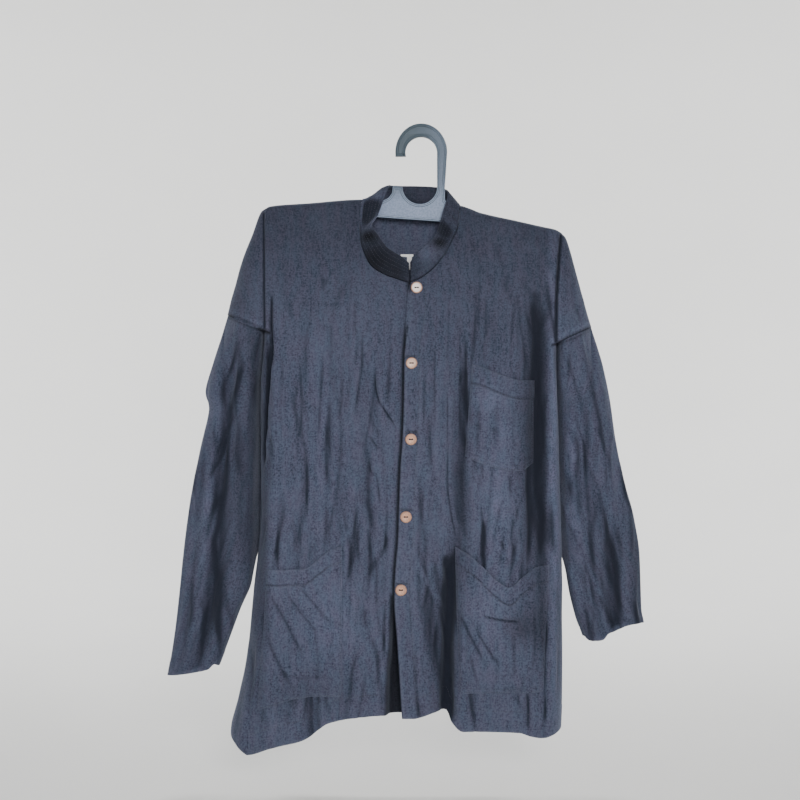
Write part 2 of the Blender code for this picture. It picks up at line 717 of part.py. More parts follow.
def hanger_outline():
    """Outline of the moulding: hook, shaft, two arms, neck plate with its notch."""
    drop = math.degrees(math.asin((HOOK_END_Z - HOOK_CENTRE[1]) / HOOK_OUTER[1]))
    inner_drop = math.degrees(math.asin((HOOK_END_Z - HOOK_CENTRE[1]) / HOOK_BORE))
    outline = arc(HOOK_CENTRE, HOOK_OUTER, 180 - drop, 0, ARC_STEPS)
    outline += SHAFT_SIDE + arm_top(LEFT_ARM) + LEFT_TIP + LOWER_EDGE
    outline += RIGHT_TIP + arm_top(RIGHT_ARM) + PLATE_FLANK
    outline += arc(NOTCH_CENTRE, (NOTCH_RADIUS, NOTCH_RADIUS), 180, 360, ARC_STEPS)
    outline += arc(HOOK_CENTRE, (HOOK_BORE, HOOK_BORE), 0, 180 - inner_drop, ARC_STEPS)
    return outline


def hanger(group, material):
    data = bpy.data.curves.new("hanger", "CURVE")
    data.dimensions = "2D"
    data.fill_mode = "BOTH"
    data.extrude = HANGER_THICK / 2 * MM
    outline = hanger_outline()
    spline = data.splines.new("POLY")
    spline.points.add(len(outline) - 1)
    for point, (x, z) in zip(spline.points, outline):
        point.co = (x * MM, z * MM, 0.0, 1.0)
    spline.use_cyclic_u = True
    data.materials.append(material)
    item = bpy.data.objects.new("hanger", data)
    item.rotation_euler = (math.pi / 2, 0.0, 0.0)
    group.objects.link(item)
    weld = item.modifiers.new("weld", "WELD")
    weld.merge_threshold = WELD * MM
    edge = item.modifiers.new("moulded edge", "BEVEL")
    edge.width = HANGER_EDGE * MM
    edge.segments = 1
    edge.limit_method = "ANGLE"
    edge.angle_limit = math.radians(50)
    return item


def button_mesh(material):
    """A turned two-hole button: a domed rim round a shallow dish."""
    radius, half = BUTTON_DIAMETER / 2, BUTTON_THICK / 2
    profile = [(radius - BUTTON_EDGE, -half), (radius, BUTTON_EDGE - half),
               (radius, half - BUTTON_EDGE), (radius - BUTTON_EDGE, half),
               (radius - BUTTON_RIM, half), (radius - BUTTON_RIM - BUTTON_EDGE, half - BUTTON_DISH)]
    mesh = bpy.data.meshes.new("button")
    shape = bmesh.new()
    rings = []
    for r, height in profile:
        ring = arc((0, 0), (r, r), 0, 360, BUTTON_SIDES)[:-1]
        rings.append([shape.verts.new((x * MM, y * MM, height * MM)) for x, y in ring])
    for low, high in zip(rings, rings[1:]):
        for k in range(BUTTON_SIDES):
            after = (k + 1) % BUTTON_SIDES
            shape.faces.new((low[k], low[after], high[after], high[k]))
    shape.faces.new(rings[0][::-1])
    shape.faces.new(rings[-1])
    shape.normal_update()
    shape.to_mesh(mesh)
    shape.free()
    mesh.materials.append(material)
    return mesh


def hole_cutter(cutters, number, matrix):
    """One thread hole of a button, as a short rod along the button's axis."""
    mesh = bpy.data.meshes.new(f"thread_hole_{number}")
    shape = bmesh.new()
    bmesh.ops.create_cone(shape, cap_ends=True, segments=HOLE_SIDES, radius1=BUTTON_HOLE / 2 * MM,
                          radius2=BUTTON_HOLE / 2 * MM, depth=4 * BUTTON_THICK * MM)
    shape.to_mesh(mesh)
    shape.free()
    item = bpy.data.objects.new(mesh.name, mesh)
    item.matrix_world = matrix
    item.hide_render = True
    item.display_type = "WIRE"
    cutters.objects.link(item)
    return item


def buttons(group, cutters, material, carrier):
    mesh = button_mesh(material)
    for number, place in enumerate(BUTTONS, start=1):
        reach = nearest_y(carrier, place.x, place.z, BUTTON_DIAMETER / 2 - BUTTON_RIM)
        y = reach - WALL / 2 - BUTTON_GAP - BUTTON_THICK / 2
        item = bpy.data.objects.new(f"button_{number}", mesh.copy())
        item.location = (place.x * MM, y * MM, place.z * MM)
        item.rotation_euler = (math.pi / 2, 0.0, 0.0)
        group.objects.link(item)
        bpy.context.view_layer.update()
        for side in (-1, 1):
            offset = Vector((side * BUTTON_HOLE_PITCH / 2 * MM, 0.0, 0.0))
            place_matrix = item.matrix_world.copy()
            place_matrix.translation = item.matrix_world @ offset
            tool = hole_cutter(cutters, f"{number}_{'a' if side < 0 else 'b'}", place_matrix)
            cut = item.modifiers.new("thread hole", "BOOLEAN")
            cut.operation = "DIFFERENCE"
            cut.solver = "EXACT"
            cut.object = tool


def neck_label(group, material, carrier):
    """Small bare label on the inside of the back, below the neck seam."""
    left, right, low, high = LABEL_BOX
    lift = WALL / 2 + LABEL_THICK / 2 + SEAM_HALF
    rows = [[(x, nearest_y(carrier, x, z, LABEL_REACH) - lift, z)
             for x in spread(left, right, 2)] for z in spread(high, low, 2)]
    cloth_object("neck_label", loft(rows, False), group, material, LABEL_THICK)


def main():
    clear_scene()
    group = make_collection("shirt_on_hanger")
    cutters = make_collection("cutters")
    materials = {name: make_material(name) for name in COLOURS}
    cloth = materials["cloth"]
    under, upper = front_right_panel(), front_left_panel()
    cloth_object("front_right", under, group, cloth)
    cloth_object("front_left", upper, group, cloth)
    behind = back_panel()
    cloth_object("back", behind, group, cloth)
    right = sleeve_points(RIGHT_SLEEVE, RIGHT_SLEEVE_FOLDS, RIGHT_TUCK, RIGHT_CUFF,
                          ARMHOLE_LEFT, "left")
    left = sleeve_points(LEFT_SLEEVE, LEFT_SLEEVE_FOLDS, LEFT_TUCK, LEFT_CUFF,
                         ARMHOLE_RIGHT, "right")
    cloth_object("sleeve_right", loft(right, True), group, cloth)
    cloth_object("sleeve_left", loft(left, True, True), group, cloth)
    cloth_object("collar_band", loft(collar_rows(), False), group, materials["cloth_fine"],
                 COLLAR_WALL)
    for name, pocket in POCKETS.items():
        carrier = facets(under if name == "pocket_low_right" else upper)
        cloth_object(name, loft(pocket_rows(pocket, carrier), False), group, cloth)
    buttons(group, cutters, materials["button"], facets(upper))
    neck_label(group, materials["label"], facets(behind))
    hanger(group, materials["plastic"])


main()
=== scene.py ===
"""Indigo work shirt hanging on a moulded coat hanger: its cloth, trims, hanger and studio.

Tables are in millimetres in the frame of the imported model. The origin is the inside top of the
hanger's hook, the buttoned front faces -Y and the shirt hangs down -Z. Meshes are in metres.
"""

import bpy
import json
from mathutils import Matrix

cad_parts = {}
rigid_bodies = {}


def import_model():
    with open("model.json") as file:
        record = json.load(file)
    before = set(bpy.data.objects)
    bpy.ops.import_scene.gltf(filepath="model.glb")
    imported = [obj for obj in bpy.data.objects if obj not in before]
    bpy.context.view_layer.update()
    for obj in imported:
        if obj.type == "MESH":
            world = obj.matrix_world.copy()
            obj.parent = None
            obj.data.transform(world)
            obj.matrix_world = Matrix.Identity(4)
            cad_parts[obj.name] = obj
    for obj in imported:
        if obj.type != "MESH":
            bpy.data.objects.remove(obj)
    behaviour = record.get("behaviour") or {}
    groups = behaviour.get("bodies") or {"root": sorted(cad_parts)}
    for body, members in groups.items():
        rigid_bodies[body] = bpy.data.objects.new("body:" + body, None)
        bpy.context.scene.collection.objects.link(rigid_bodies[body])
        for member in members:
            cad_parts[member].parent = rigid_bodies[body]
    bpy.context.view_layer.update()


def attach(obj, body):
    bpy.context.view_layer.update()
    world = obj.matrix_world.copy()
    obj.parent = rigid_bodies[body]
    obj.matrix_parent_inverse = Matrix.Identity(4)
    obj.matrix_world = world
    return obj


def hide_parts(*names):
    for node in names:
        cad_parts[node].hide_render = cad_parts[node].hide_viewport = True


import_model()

import json
import logging
import math
from dataclasses import dataclass, field
from enum import Enum

import bpy
import numpy as np
from mathutils import Vector
from mathutils.bvhtree import BVHTree

log = logging.getLogger("shirt")
MM = 0.001
RAY_START = -0.3
Grid = np.ndarray


class Side(Enum):
    """The two ends of the body: LEFT lies at -X, RIGHT at +X."""

    LEFT = "left"
    RIGHT = "right"

    @property
    def column(self) -> int:
        """Column of this side in the tables of outlines."""
        return 1 if self is Side.LEFT else 2

    @property
    def inward(self) -> int:
        """Sign of the way in, towards the middle of the body."""
        return 1 if self is Side.LEFT else -1


class Held(Enum):
    """How a sheet of cloth is carried."""

    HUNG = "hung"
    STRETCHED = "stretched"


# Tables of the hanging form, the same as the solids'
BODY_SIDES = np.array([
    (-263, -207.5, 179.5), (-290, -209.5, 179.3), (-330, -213, 180), (-365, -213.5, 181.3),
    (-420, -212.6, 183), (-464, -212.5, 184), (-500, -213.2, 185), (-550, -216.5, 186.5),
    (-590, -220.5, 187), (-632, -225, 187), (-683, -230, 187.5), (-743, -242, 187),
    (-790, -252, 185), (-820, -250, 183)], float)
CAP_SIDES = np.array([
    (-92, -203, 180), (-96, -209.3, 183), (-102.7, -214, 185), (-128.5, -223.5, 187.5),
    (-135, -226, 192.5), (-152, -233, 198.3), (-174, -240.5, 204.3), (-198.5, -247, 210.8),
    (-220, -253.2, 216.5), (-239, -257.6, 221.8), (-254, -261.3, 226.5)], float)
SHOULDER = np.array([
    (-214, -99.8), (-209.3, -96.6), (-198, -92.5), (-150, -89), (-79, -84), (52, -92),
    (79, -101.5), (130, -113), (160, -119.8), (178, -123.8), (187, -127.4)], float)
ARMHOLE = {Side.LEFT: ((-199, -263), (-257, -238)), Side.RIGHT: ((171.5, -280), (226, -254))}
DEPTHS = np.array([
    (0, 8.5, 8.5), (12, 11, 11.5), (30, 14, 15), (60, 20, 18), (100, 27, 21), (160, 33, 24),
    (300, 39, 27), (450, 38, 27), (600, 41, 28), (700, 46, 30)], float)
NECK_CENTRE = -14.0
NECK_FRONT_BULGE = (-14, -200, 60, 50, 9)
NECK_BACK_BULGE = (-13, -97, 42, 55, 9)
CENTRE_EDGE = np.array([
    (-198, -15), (-231, -15), (-265, -20), (-297, -22.8), (-348, -23.4), (-397, -25),
    (-442, -28), (-486, -29.7), (-529, -31), (-585, -35.3), (-611, -35.8), (-663, -32.2),
    (-709, -29.3), (-745, -27), (-765, -25.4)], float)
UNDER_FOLD = np.array([(-600, -41.8), (-663, -43.6), (-722, -47.5), (-765, -49)], float)
RIGHT_HEM = np.array([
    (-252, -791), (-247, -803), (-226, -810), (-196, -800.5), (-160, -794), (-144, -788),
    (-122, -770), (-95, -764), (-49, -760), (2, -760)], float)
LEFT_HEM = np.array([
    (-25.4, -764), (-10.5, -764), (17.5, -756), (32, -753), (38, -767), (54, -779.5),
    (94, -781), (127, -782.5), (142, -787), (156, -789), (172, -787), (183, -782),
    (186, -781)], float)
BACK_HEM = np.array([
    (-252, -791), (-240, -800), (-200, -790), (-120, -768), (-20, -764), (60, -770),
    (140, -776), (186, -781)], float)
NECK_LEFT = np.array([
    (-15.6, -197.6, -16.6, -29, -171.5), (-33.2, -193, -25.4, -29, -163.5),
    (-52.8, -185, -36, -29, -157), (-67, -174, -44.5, -28, -151), (-76, -156, -56.8, -25, -134.5),
    (-80.5, -140, -64.8, -21, -120.5), (-81.5, -119, -58.4, -14.5, -105),
    (-79.5, -89, -46, -4.5, -75), (-79, -84, -41.5, 1, -66)], float)
NECK_BACK = np.array([
    (-73, -84.8, -39.5, 5.5, -64.8), (-66, -86.5, -36.5, 9, -64), (-45, -91, -28, 15, -62.8),
    (-12, -95, -11.8, 17, -62.5), (18, -95, 9.7, 15, -63.5), (40, -93.5, 26, 9.5, -66.4),
    (47, -92.6, 32, 6, -69)], float)
NECK_RIGHT = np.array([
    (52, -92, 35.5, 1, -72.5), (52, -97, 35, -5, -81), (49.2, -121, 28, -14, -104),
    (41.7, -140, 24, -21, -123), (29.7, -161.7, 12.7, -26, -142), (13.8, -180.8, 0.8, -29, -153),
    (-1.9, -192.7, -8.6, -30, -161.5), (-14.0, -197.6, -14.6, -31, -171.3)], float)
# Broad folds: x and z at the top, x and z at the foot, half width, depth
FRONT_FOLDS = (
    (154, -170, 153, -575, 16, 10), (-197.5, -262, -206, -440, 5, 10),
    (40, -535, 33, -775, 12, 14), (56, -640, 52, -790, 16, -5),
    (-150, -300, -158, -560, 16, -4), (-122, -220, -130, -520, 14, 4),
    (-95, -200, -100, -740, 18, -4), (-62, -230, -72, -700, 14, 5),
    (-196, -640, -205, -815, 22, -9), (-143, -690, -140, -800, 11, 9),
    (22, -230, 16, -500, 16, -4), (48, -260, 44, -480, 11, 5),
    (96, -460, 100, -570, 24, -4), (120, -600, 118, -730, 22, -5))
BACK_FOLDS = (
    (-120, -180, -140, -790, 26, 9), (-60, -200, -70, -780, 24, -8),
    (-5, -190, -2, -780, 20, 9), (55, -210, 62, -780, 24, -8), (112, -180, 120, -790, 22, 9),
    (-175, -300, -195, -800, 20, -6), (158, -300, 162, -780, 14, -6))
# Sleeve sections: inner x and z, outer x and z, front and back depth
SLEEVE_SECTIONS = {
    Side.LEFT: np.array([
        (-209.8, -259.3, -257, -238.7, 30, 23), (-214.5, -286, -265, -266, 27, 22),
        (-217, -318, -276.5, -302, 24, 21), (-218.5, -351, -286.5, -340, 23, 20),
        (-219, -372, -282, -362, 23, 20), (-219.5, -417, -293.5, -416, 23, 20),
        (-219.5, -484, -307, -486, 23, 19), (-221, -548, -316, -555, 22, 18),
        (-226, -591, -321, -605, 21, 17), (-241, -628, -326, -649, 19, 15),
        (-256, -668, -331, -684, 17, 14), (-269, -701, -337, -717, 15, 13)], float),
    Side.RIGHT: np.array([
        (181.8, -275.2, 226.2, -254, 31, 24), (183, -318, 240.5, -301, 24, 21),
        (184.6, -364, 251, -350, 22, 19), (186.5, -417, 258.5, -403, 21, 19),
        (188, -471, 269.5, -457, 22, 19), (190, -517, 282.5, -505, 22, 18),
        (192, -561, 290.5, -557, 21, 17), (197, -600, 292, -600, 19, 16),
        (208, -645, 293, -628, 16, 14), (216, -673, 296, -647, 14, 12)], float),
}
# Points round a sleeve: share of its width, depth, and how far the inner edge tucks in and behind
SLEEVE_RING = np.array([
    (0, -0.12, 6.5, 23), (0.012, -0.34, 4, 21), (0.03, -0.55, 1.8, 14), (0.055, -0.70, 0.5, 7),
    (0.12, -0.84, 0, 2), (0.22, -0.94, 0, 0), (0.34, -0.99, 0, 0), (0.46, -1, 0, 0),
    (0.58, -0.98, 0, 0), (0.70, -0.90, 0, 0), (0.81, -0.77, 0, 0), (0.90, -0.57, 0, 0),
    (0.965, -0.34, 0, 0), (1, -0.10, 0, 0), (1, 0.10, 0, 0), (0.95, 0.40, 0, 0),
    (0.85, 0.68, 0, 0), (0.69, 0.90, 0, 0), (0.50, 1, 0, 0), (0.30, 0.97, 0, 0),
    (0.14, 0.80, 0.5, 5), (0.04, 0.42, 3, 16), (0, 0.12, 6.5, 23)], float)
SLEEVE_TUCK = {
    Side.LEFT: np.array([(0, 0), (0.09, 0), (0.24, 1), (0.58, 1), (0.72, 0), (1, 0)], float),
    Side.RIGHT: np.array([(0, 0), (0.09, 0), (0.24, 1), (0.6, 1), (0.74, 0), (1, 0)], float),
}
SLEEVE_CUFF = {
    Side.LEFT: np.array([(0, -2), (0.08, 2), (0.2, -3), (0.45, -2.5), (1, 0)], float),
    Side.RIGHT: np.array([(0, 9), (0.1, 2), (0.3, -3), (0.4, 3), (0.65, 5.5), (0.9, 3),
                          (1, 0)], float),
}
# Sleeve folds: share and run at the top, share and run at the foot, half width, depth
SLEEVE_FOLDS = {
    Side.LEFT: ((0.60, 0.03, 0.46, 0.98, 0.15, 11), (0.86, 0.35, 0.80, 0.98, 0.08, 5)),
    Side.RIGHT: ((0.32, 0.10, 0.36, 0.60, 0.13, 5), (0.62, 0.52, 0.52, 0.98, 0.12, 9),
                 (0.26, 0.62, 0.30, 0.98, 0.10, 6)),
}
SLEEVE_BACK_FOLDS = ((0.45, 0.05, 0.5, 0.98, 0.16, 7),)


def smooth(value: Grid) -> Grid:
    """Ease shares from 0 to 1.

    Args:
        value: Shares, cut off at 0 and 1.

    Returns:
        The eased shares.
    """
    t = np.clip(value, 0.0, 1.0)
    return t * t * (3.0 - 2.0 * t)


def mix(a: Grid, b: Grid, share: Grid) -> Grid:
    """Blend from a to b by a share."""
    return a + (b - a) * share


def curve_through(places: Grid, heights: Grid, at: Grid) -> Grid:
    """Read the smooth curve, without overshoot, through given heights.

    Args:
        places: Where the heights are known.
        heights: The known heights.
        at: Where the curve is read.

    Returns:
        Heights of the curve, held level beyond its two ends.
    """
    order = np.argsort(places)
    xs, ys = np.asarray(places, float)[order], np.asarray(heights, float)[order]
    slope = np.diff(ys) / np.diff(xs)
    tangent = np.empty_like(ys)
    tangent[0], tangent[-1] = slope[0], slope[-1]
    before, after = slope[:-1], slope[1:]
    bends = before * after > 0
    total = np.where(bends, before + after, 1.0)
    tangent[1:-1] = np.where(bends, 2.0 * before * after / total, 0.0)
    at = np.clip(at, xs[0], xs[-1])
    k = np.clip(np.searchsorted(xs, at) - 1, 0, len(xs) - 2)
    width = xs[k + 1] - xs[k]
    t = (at - xs[k]) / width
    h00, h10 = (1 + 2 * t) * (1 - t) ** 2, t * (1 - t) ** 2
    h01, h11 = t * t * (3 - 2 * t), t * t * (t - 1)
    return (h00 * ys[k] + h10 * width * tangent[k] + h01 * ys[k + 1]
            + h11 * width * tangent[k + 1])


def column(table: Grid, key: int, value: int, at: Grid) -> Grid:
    """Read one column of a table at places along another.

    Args:
        table: Rows of numbers.
        key: Column that holds the places.
        value: Column that holds the heights.
        at: Where to read.

    Returns:
        The smooth heights.
    """
    return curve_through(table[:, key], table[:, value], at)


def through_rows(table: Grid, at: Grid) -> list:
    """Smooth curve through each column of a table, read at places counted in rows."""
    rows = np.arange(len(table))
    return [curve_through(rows, table[:, k], at) for k in range(table.shape[1])]


def run_along(points: Grid) -> Grid:
    """Length run along a line of points, or many side by side, up to each point."""
    steps = np.linalg.norm(np.diff(points, axis=0), axis=-1)
    return np.concatenate([np.zeros((1, *steps.shape[1:])), np.cumsum(steps, 0)])


def rounding(distance: Grid, radius: Grid) -> Grid:
    """Share of full depth at a distance in from a rounded edge."""
    q = np.clip(distance / radius, 0.0, 1.0)
    return np.sqrt(1.0 - (1.0 - q) ** 2)


def bell(value: Grid) -> Grid:
    """Height of a round bump at a distance counted in its own half widths."""
    return np.exp(-value * value)


@dataclass(frozen=True)
class Drape:
    """The shared hanging form of the body: where its front and back cloth lie."""

    seam_half: float = 0.03
    shoulder_round: float = 7.0
    side_round: float = 24.0
    underarm_round: float = 8.0
    underarm_run: float = 70.0
    armhole_level: float = -263.0
    inside: float = 100.0
    side_fade: float = 0.6

    def shoulder(self, x: Grid) -> Grid:
        """Height of the shoulder line."""
        return column(SHOULDER, 0, 1, x)

    def side_radius(self, z: Grid) -> Grid:
        """Rounding of the body's side, tighter under the arm."""
        run = smooth((self.armhole_level - z) / self.underarm_run)
        return mix(self.underarm_round, self.side_round, run)

    def side(self, z: Grid, side: Side) -> Grid:
        """Outline of the body below the armhole."""
        return column(BODY_SIDES, 0, side.column, z)

    def turn(self, z: Grid, side: Side) -> Grid:
        """Where the flat of the body turns towards the side seam."""
        return self.side(z, side) + self.side_radius(z) * side.inward

    def folds(self, table: tuple, x: Grid, z: Grid) -> Grid:
        """Sum the broad folds.

        Args:
            table: Rows of one fold each.
            x: Places across.
            z: Heights.

        Returns:
            Depth of the folds, in towards the body's middle.
        """
        total = np.zeros_like(x)
        for x_top, z_top, x_low, z_low, half, depth in table:
            run = (z_top - z) / (z_top - z_low)
            fade = smooth(run / 0.2) * smooth((1.0 - run) / 0.12)
            total += depth * fade * bell((x - mix(x_top, x_low, run)) / half)
        return total

    def cloth_y(self, x: Grid, z: Grid, front: bool, distance: Grid | None = None,
                radius: Grid | None = None) -> Grid:
        """Place the cloth from front to back.

        Args:
            x: Places across.
            z: Heights.
            front: True for the fronts, which lie at -Y.
            distance: How far in from the rounded side each place is.
            radius: Radius of that rounding.

        Returns:
            The Y of the cloth.
        """
        distance = np.full_like(x, self.inside) if distance is None else distance
        radius = np.full_like(x, self.side_round) if radius is None else radius
        below = np.maximum(self.shoulder(x) - z, 0.0)
        depth = column(DEPTHS, 0, 1 if front else 2, below)
        cx, cz, hx, hz, height = NECK_FRONT_BULGE if front else NECK_BACK_BULGE
        depth = depth + height * bell((x - cx) / hx) * bell((z - cz) / hz)
        folds = self.folds(FRONT_FOLDS if front else BACK_FOLDS, x, z)
        folds = folds * np.minimum(distance / (self.side_fade * radius), 1.0)
        depth = (depth - folds) * rounding(distance, radius)
        depth = depth * rounding(below, self.shoulder_round)
        return -depth - self.seam_half if front else depth + self.seam_half


DRAPE = Drape()


@dataclass(frozen=True)
class Crease:
    """A trough along a bent line on the cloth, or a ridge where its depth is negative."""

    path: tuple
    half: float
    depth: float
    bank: float = 0.0
    sharp: float = 0.0
    fade: float = 0.25
    # Painted shade per millimetre of trough, and painted light per millimetre of ridge
    shade: float = 0.16

    def rounded_path(self) -> Grid:
        """Points of the line, with its corners rounded."""
        line = np.array(self.path, float)
        if len(line) < 3:
            return line
        at = np.linspace(0, len(line) - 1, 4 * len(line))
        return np.stack(through_rows(line, at), 1)

    def height(self, x: Grid, z: Grid) -> Grid:
        """Outward height that the crease adds.

        Args:
            x: Places across.
            z: Heights.

        Returns:
            Heights in millimetres, negative in the trough.
        """
        line = self.rounded_path()
        reach = 4.0 * self.half
        near = ((x > line[:, 0].min() - reach) & (x < line[:, 0].max() + reach)
                & (z > line[:, 1].min() - reach) & (z < line[:, 1].max() + reach))
        total = np.zeros_like(x)
        if not near.any():
            return total
        px, pz = x[near], z[near]
        best = np.full(px.shape, 1e9)
        side = np.zeros(px.shape)
        along = np.zeros(px.shape)
        lengths = np.linalg.norm(np.diff(line, axis=0), axis=1)
        run = np.concatenate([[0.0], np.cumsum(lengths)])
        for k in range(len(line) - 1):
            ax, az = line[k]
            dx, dz = line[k + 1] - line[k]
            t = np.clip(((px - ax) * dx + (pz - az) * dz) / lengths[k] ** 2, 0.0, 1.0)
            gap = np.hypot(px - ax - dx * t, pz - az - dz * t)
            nearer = gap < best
            cross = (px - ax) * dz - (pz - az) * dx
            side = np.where(nearer, -np.sign(cross) * gap, side)
            along = np.where(nearer, (run[k] + t * lengths[k]) / run[-1], along)
            best = np.where(nearer, gap, best)
        side = side * np.sign(line[0, 1] - line[-1, 1] + 1e-6)
        shape = mix(bell(best / self.half), np.exp(-best / (0.6 * self.half)), self.sharp)
        ends = smooth(along / self.fade) * smooth((1.0 - along) / self.fade)
        lean = 1.0 if self.bank >= 0 else -1.0
        wall = bell((side * lean - 1.9 * self.half) / (1.1 * self.half)) * abs(self.bank)
        total[near] = self.depth * ends * (wall - shape)
        return total


def sum_creases(creases: list, x: Grid, z: Grid) -> Grid:
    """Add up creases.

    Args:
        creases: The creases.
        x: Places across.
        z: Heights.

    Returns:
        Outward heights in millimetres, and the painted light and shade for them.
    """
    total = np.zeros((2, *x.shape))
    for crease in creases:
        height = crease.height(x, z)
        total += np.stack([height, height * crease.shade])
    return total


@dataclass(frozen=True)
class ToneAndShade:
    """Colour strength over the cloth, darker towards the shoulders and paler below, with spots of
    painted light and painted shade.
    """

    level: tuple
    spots: tuple = ()

    def values(self, x: Grid, z: Grid) -> Grid:
        """Strength of the colour.

        Args:
            x: Places across.
            z: Heights.

        Returns:
            Half the factor on the cloth's colour, painted light and shade included.
        """
        heights, factors = np.array(self.level, float).T
        tone = curve_through(heights, factors, z)
        # Spots: painted shade in troughs, gaps and parts turned from the light, painted light on
        # lit ridges
        for sx, sz, half_x, half_z, gain in self.spots:
            tone = tone * (1.0 + gain * bell((x - sx) / half_x) * bell((z - sz) / half_z))
        return tone / 2.0


@dataclass(frozen=True)
class Crinkle:
    """Small creases scattered over one area, the same ones in each run."""

    seed: int
    count: int
    across: tuple
    down: tuple
    lean: float
    spread: float
    length: tuple
    half: tuple
    depth: tuple

    def creases(self) -> list:
        """Place the creases.

        Returns:
            One short bent crease for each place.
        """
        rng = np.random.default_rng(self.seed)
        found = []
        for _ in range(self.count):
            x, z = rng.uniform(*self.across), rng.uniform(*self.down)
            angle = math.radians(rng.normal(self.lean, self.spread))
            reach = rng.uniform(*self.length) / 2
            bow = rng.normal(0.0, 0.08) * reach
            dx, dz = math.sin(angle) * reach, math.cos(angle) * reach
            middle = (x + math.cos(angle) * bow, z - math.sin(angle) * bow)
            sign = 1.0 if rng.random() < 0.6 else -0.8
            found.append(Crease(((x + dx, z + dz), middle, (x - dx, z - dz)),
                                rng.uniform(*self.half), sign * rng.uniform(*self.depth),
                                rng.uniform(-0.5, 0.5), rng.uniform(0, 0.5), 0.4))
        return found


@dataclass
class ClothMesh:
    """Points and quads of one cloth piece, with each point's place on the flat cut."""

    points: list = field(default_factory=list)
    cut: list = field(default_factory=list)
    faces: list = field(default_factory=list)
    count: int = 0

    def add(self, points: Grid, cut: Grid) -> Grid:
        """Add a grid of points.

        Args:
            points: Columns by rows by three, in millimetres.
            cut: Columns by rows by two, places on the flat cloth.

        Returns:
            The number of each point.
        """
        shape = points.shape[:2]
        numbers = np.arange(self.count, self.count + shape[0] * shape[1]).reshape(shape)
        self.points.append(points.reshape(-1, 3))
        self.cut.append(cut.reshape(-1, 2))
        self.count += numbers.size
        return numbers

    def skin(self, numbers: Grid, flip: bool) -> None:
        """Join a grid of point numbers with quads.

        Args:
            numbers: Columns by rows of point numbers.
            flip: True to turn the quads over.
        """
        a, b = numbers[:-1, :-1], numbers[:-1, 1:]
        c, d = numbers[1:, 1:], numbers[1:, :-1]
        quads = np.stack([a, d, c, b] if flip else [a, b, c, d], -1).reshape(-1, 4)
        self.faces.append(quads)

    def arrays(self) -> tuple:
        """All points, cut places and quads as three arrays."""
        return (np.concatenate(self.points), np.concatenate(self.cut),
                np.concatenate(self.faces))


def one_grid(grid: Grid, cut: Grid) -> tuple:
    """Points, cut places and quads of a piece that is one grid."""
    cloth = ClothMesh()
    cloth.skin(cloth.add(grid, cut), False)
    return cloth.arrays()


def point_normals(points: Grid, faces: Grid) -> Grid:
    """Average the quads' directions at each point.

    Args:
        points: All points.
        faces: All quads.

    Returns:
        One unit direction for each point.
    """
    corner = points[faces]
    across = np.cross(corner[:, 2] - corner[:, 0], corner[:, 3] - corner[:, 1])
    normals = np.zeros_like(points)
    for k in range(4):
        np.add.at(normals, faces[:, k], across)
    size = np.linalg.norm(normals, axis=1, keepdims=True)
    return normals / np.maximum(size, 1e-12)


def add_mask(mesh: bpy.types.Mesh, name: str, values: Grid) -> None:
    """Store one number for each point, for the material to read."""
    layer = mesh.attributes.new(name, "FLOAT", "POINT")
    layer.data.foreach_set("value", np.clip(values, 0.0, 1.0).astype(np.float32))


def points_of(piece: bpy.types.Object) -> Grid:
    """Points of a piece's mesh, in millimetres."""
    places = np.empty(len(piece.data.vertices) * 3)
    piece.data.vertices.foreach_get("co", places)
    return places.reshape(-1, 3) / MM


def put_in_scene(name: str, data: bpy.types.ID) -> bpy.types.Object:
    """Make an object of some data and put it in the scene."""
    made = bpy.data.objects.new(name, data)
    bpy.context.scene.collection.objects.link(made)
    return made


def make_piece(name: str, points: Grid, faces: Grid, material: bpy.types.Material,
               cut: Grid | None = None) -> bpy.types.Object:
    """Make one mesh piece.

    Args:
        name: Name of the piece.
        points: Points in millimetres.
        faces: Faces as rows of point numbers.
        material: Its finish.
        cut: Place of each point on the flat cloth, in millimetres.

    Returns:
        The piece, linked to the scene.
    """
    mesh = bpy.data.meshes.new(name)
    mesh.from_pydata((np.asarray(points) * MM).tolist(), [], [list(face) for face in faces])
    mesh.update()
    mesh.shade_smooth()
    if cut is not None:
        layer = mesh.uv_layers.new(name="cut")
        loops = np.empty(len(mesh.loops), np.int32)
        mesh.loops.foreach_get("vertex_index", loops)
        layer.data.foreach_set("uv", (cut[loops] * MM).astype(np.float32).ravel())
    mesh.materials.append(material)
    return put_in_scene(name, mesh)


def finish_cloth(piece: bpy.types.Object, wall: float, doubled: Grid | None = None) -> None:
    """Give a sheet its thickness, more where it is folded double.

    Args:
        piece: The sheet.
        wall: Full thickness in millimetres where it is doubled.
        doubled: 1 where the cloth is doubled, 0 where it is single.
    """
    shell = piece.modifiers.new("thickness", "SOLIDIFY")
    shell.thickness = wall * MM
    shell.offset = 0.0
    shell.use_rim = True
    if doubled is not None:
        group = piece.vertex_groups.new(name="doubled")
        levels = np.round(mix(0.55, 1.0, np.clip(doubled, 0, 1)), 2)
        for level in np.unique(levels):
            group.add(np.nonzero(levels == level)[0].tolist(), float(level), "REPLACE")
        shell.vertex_group = "doubled"
        shell.thickness_vertex_group = 0.0
    piece.modifiers.new("even shading", "WEIGHTED_NORMAL")


def facets(piece: bpy.types.Object) -> BVHTree:
    """The finished facets of a piece, to lay other pieces on."""
    bpy.context.view_layer.update()
    return BVHTree.FromObject(piece, bpy.context.evaluated_depsgraph_get())


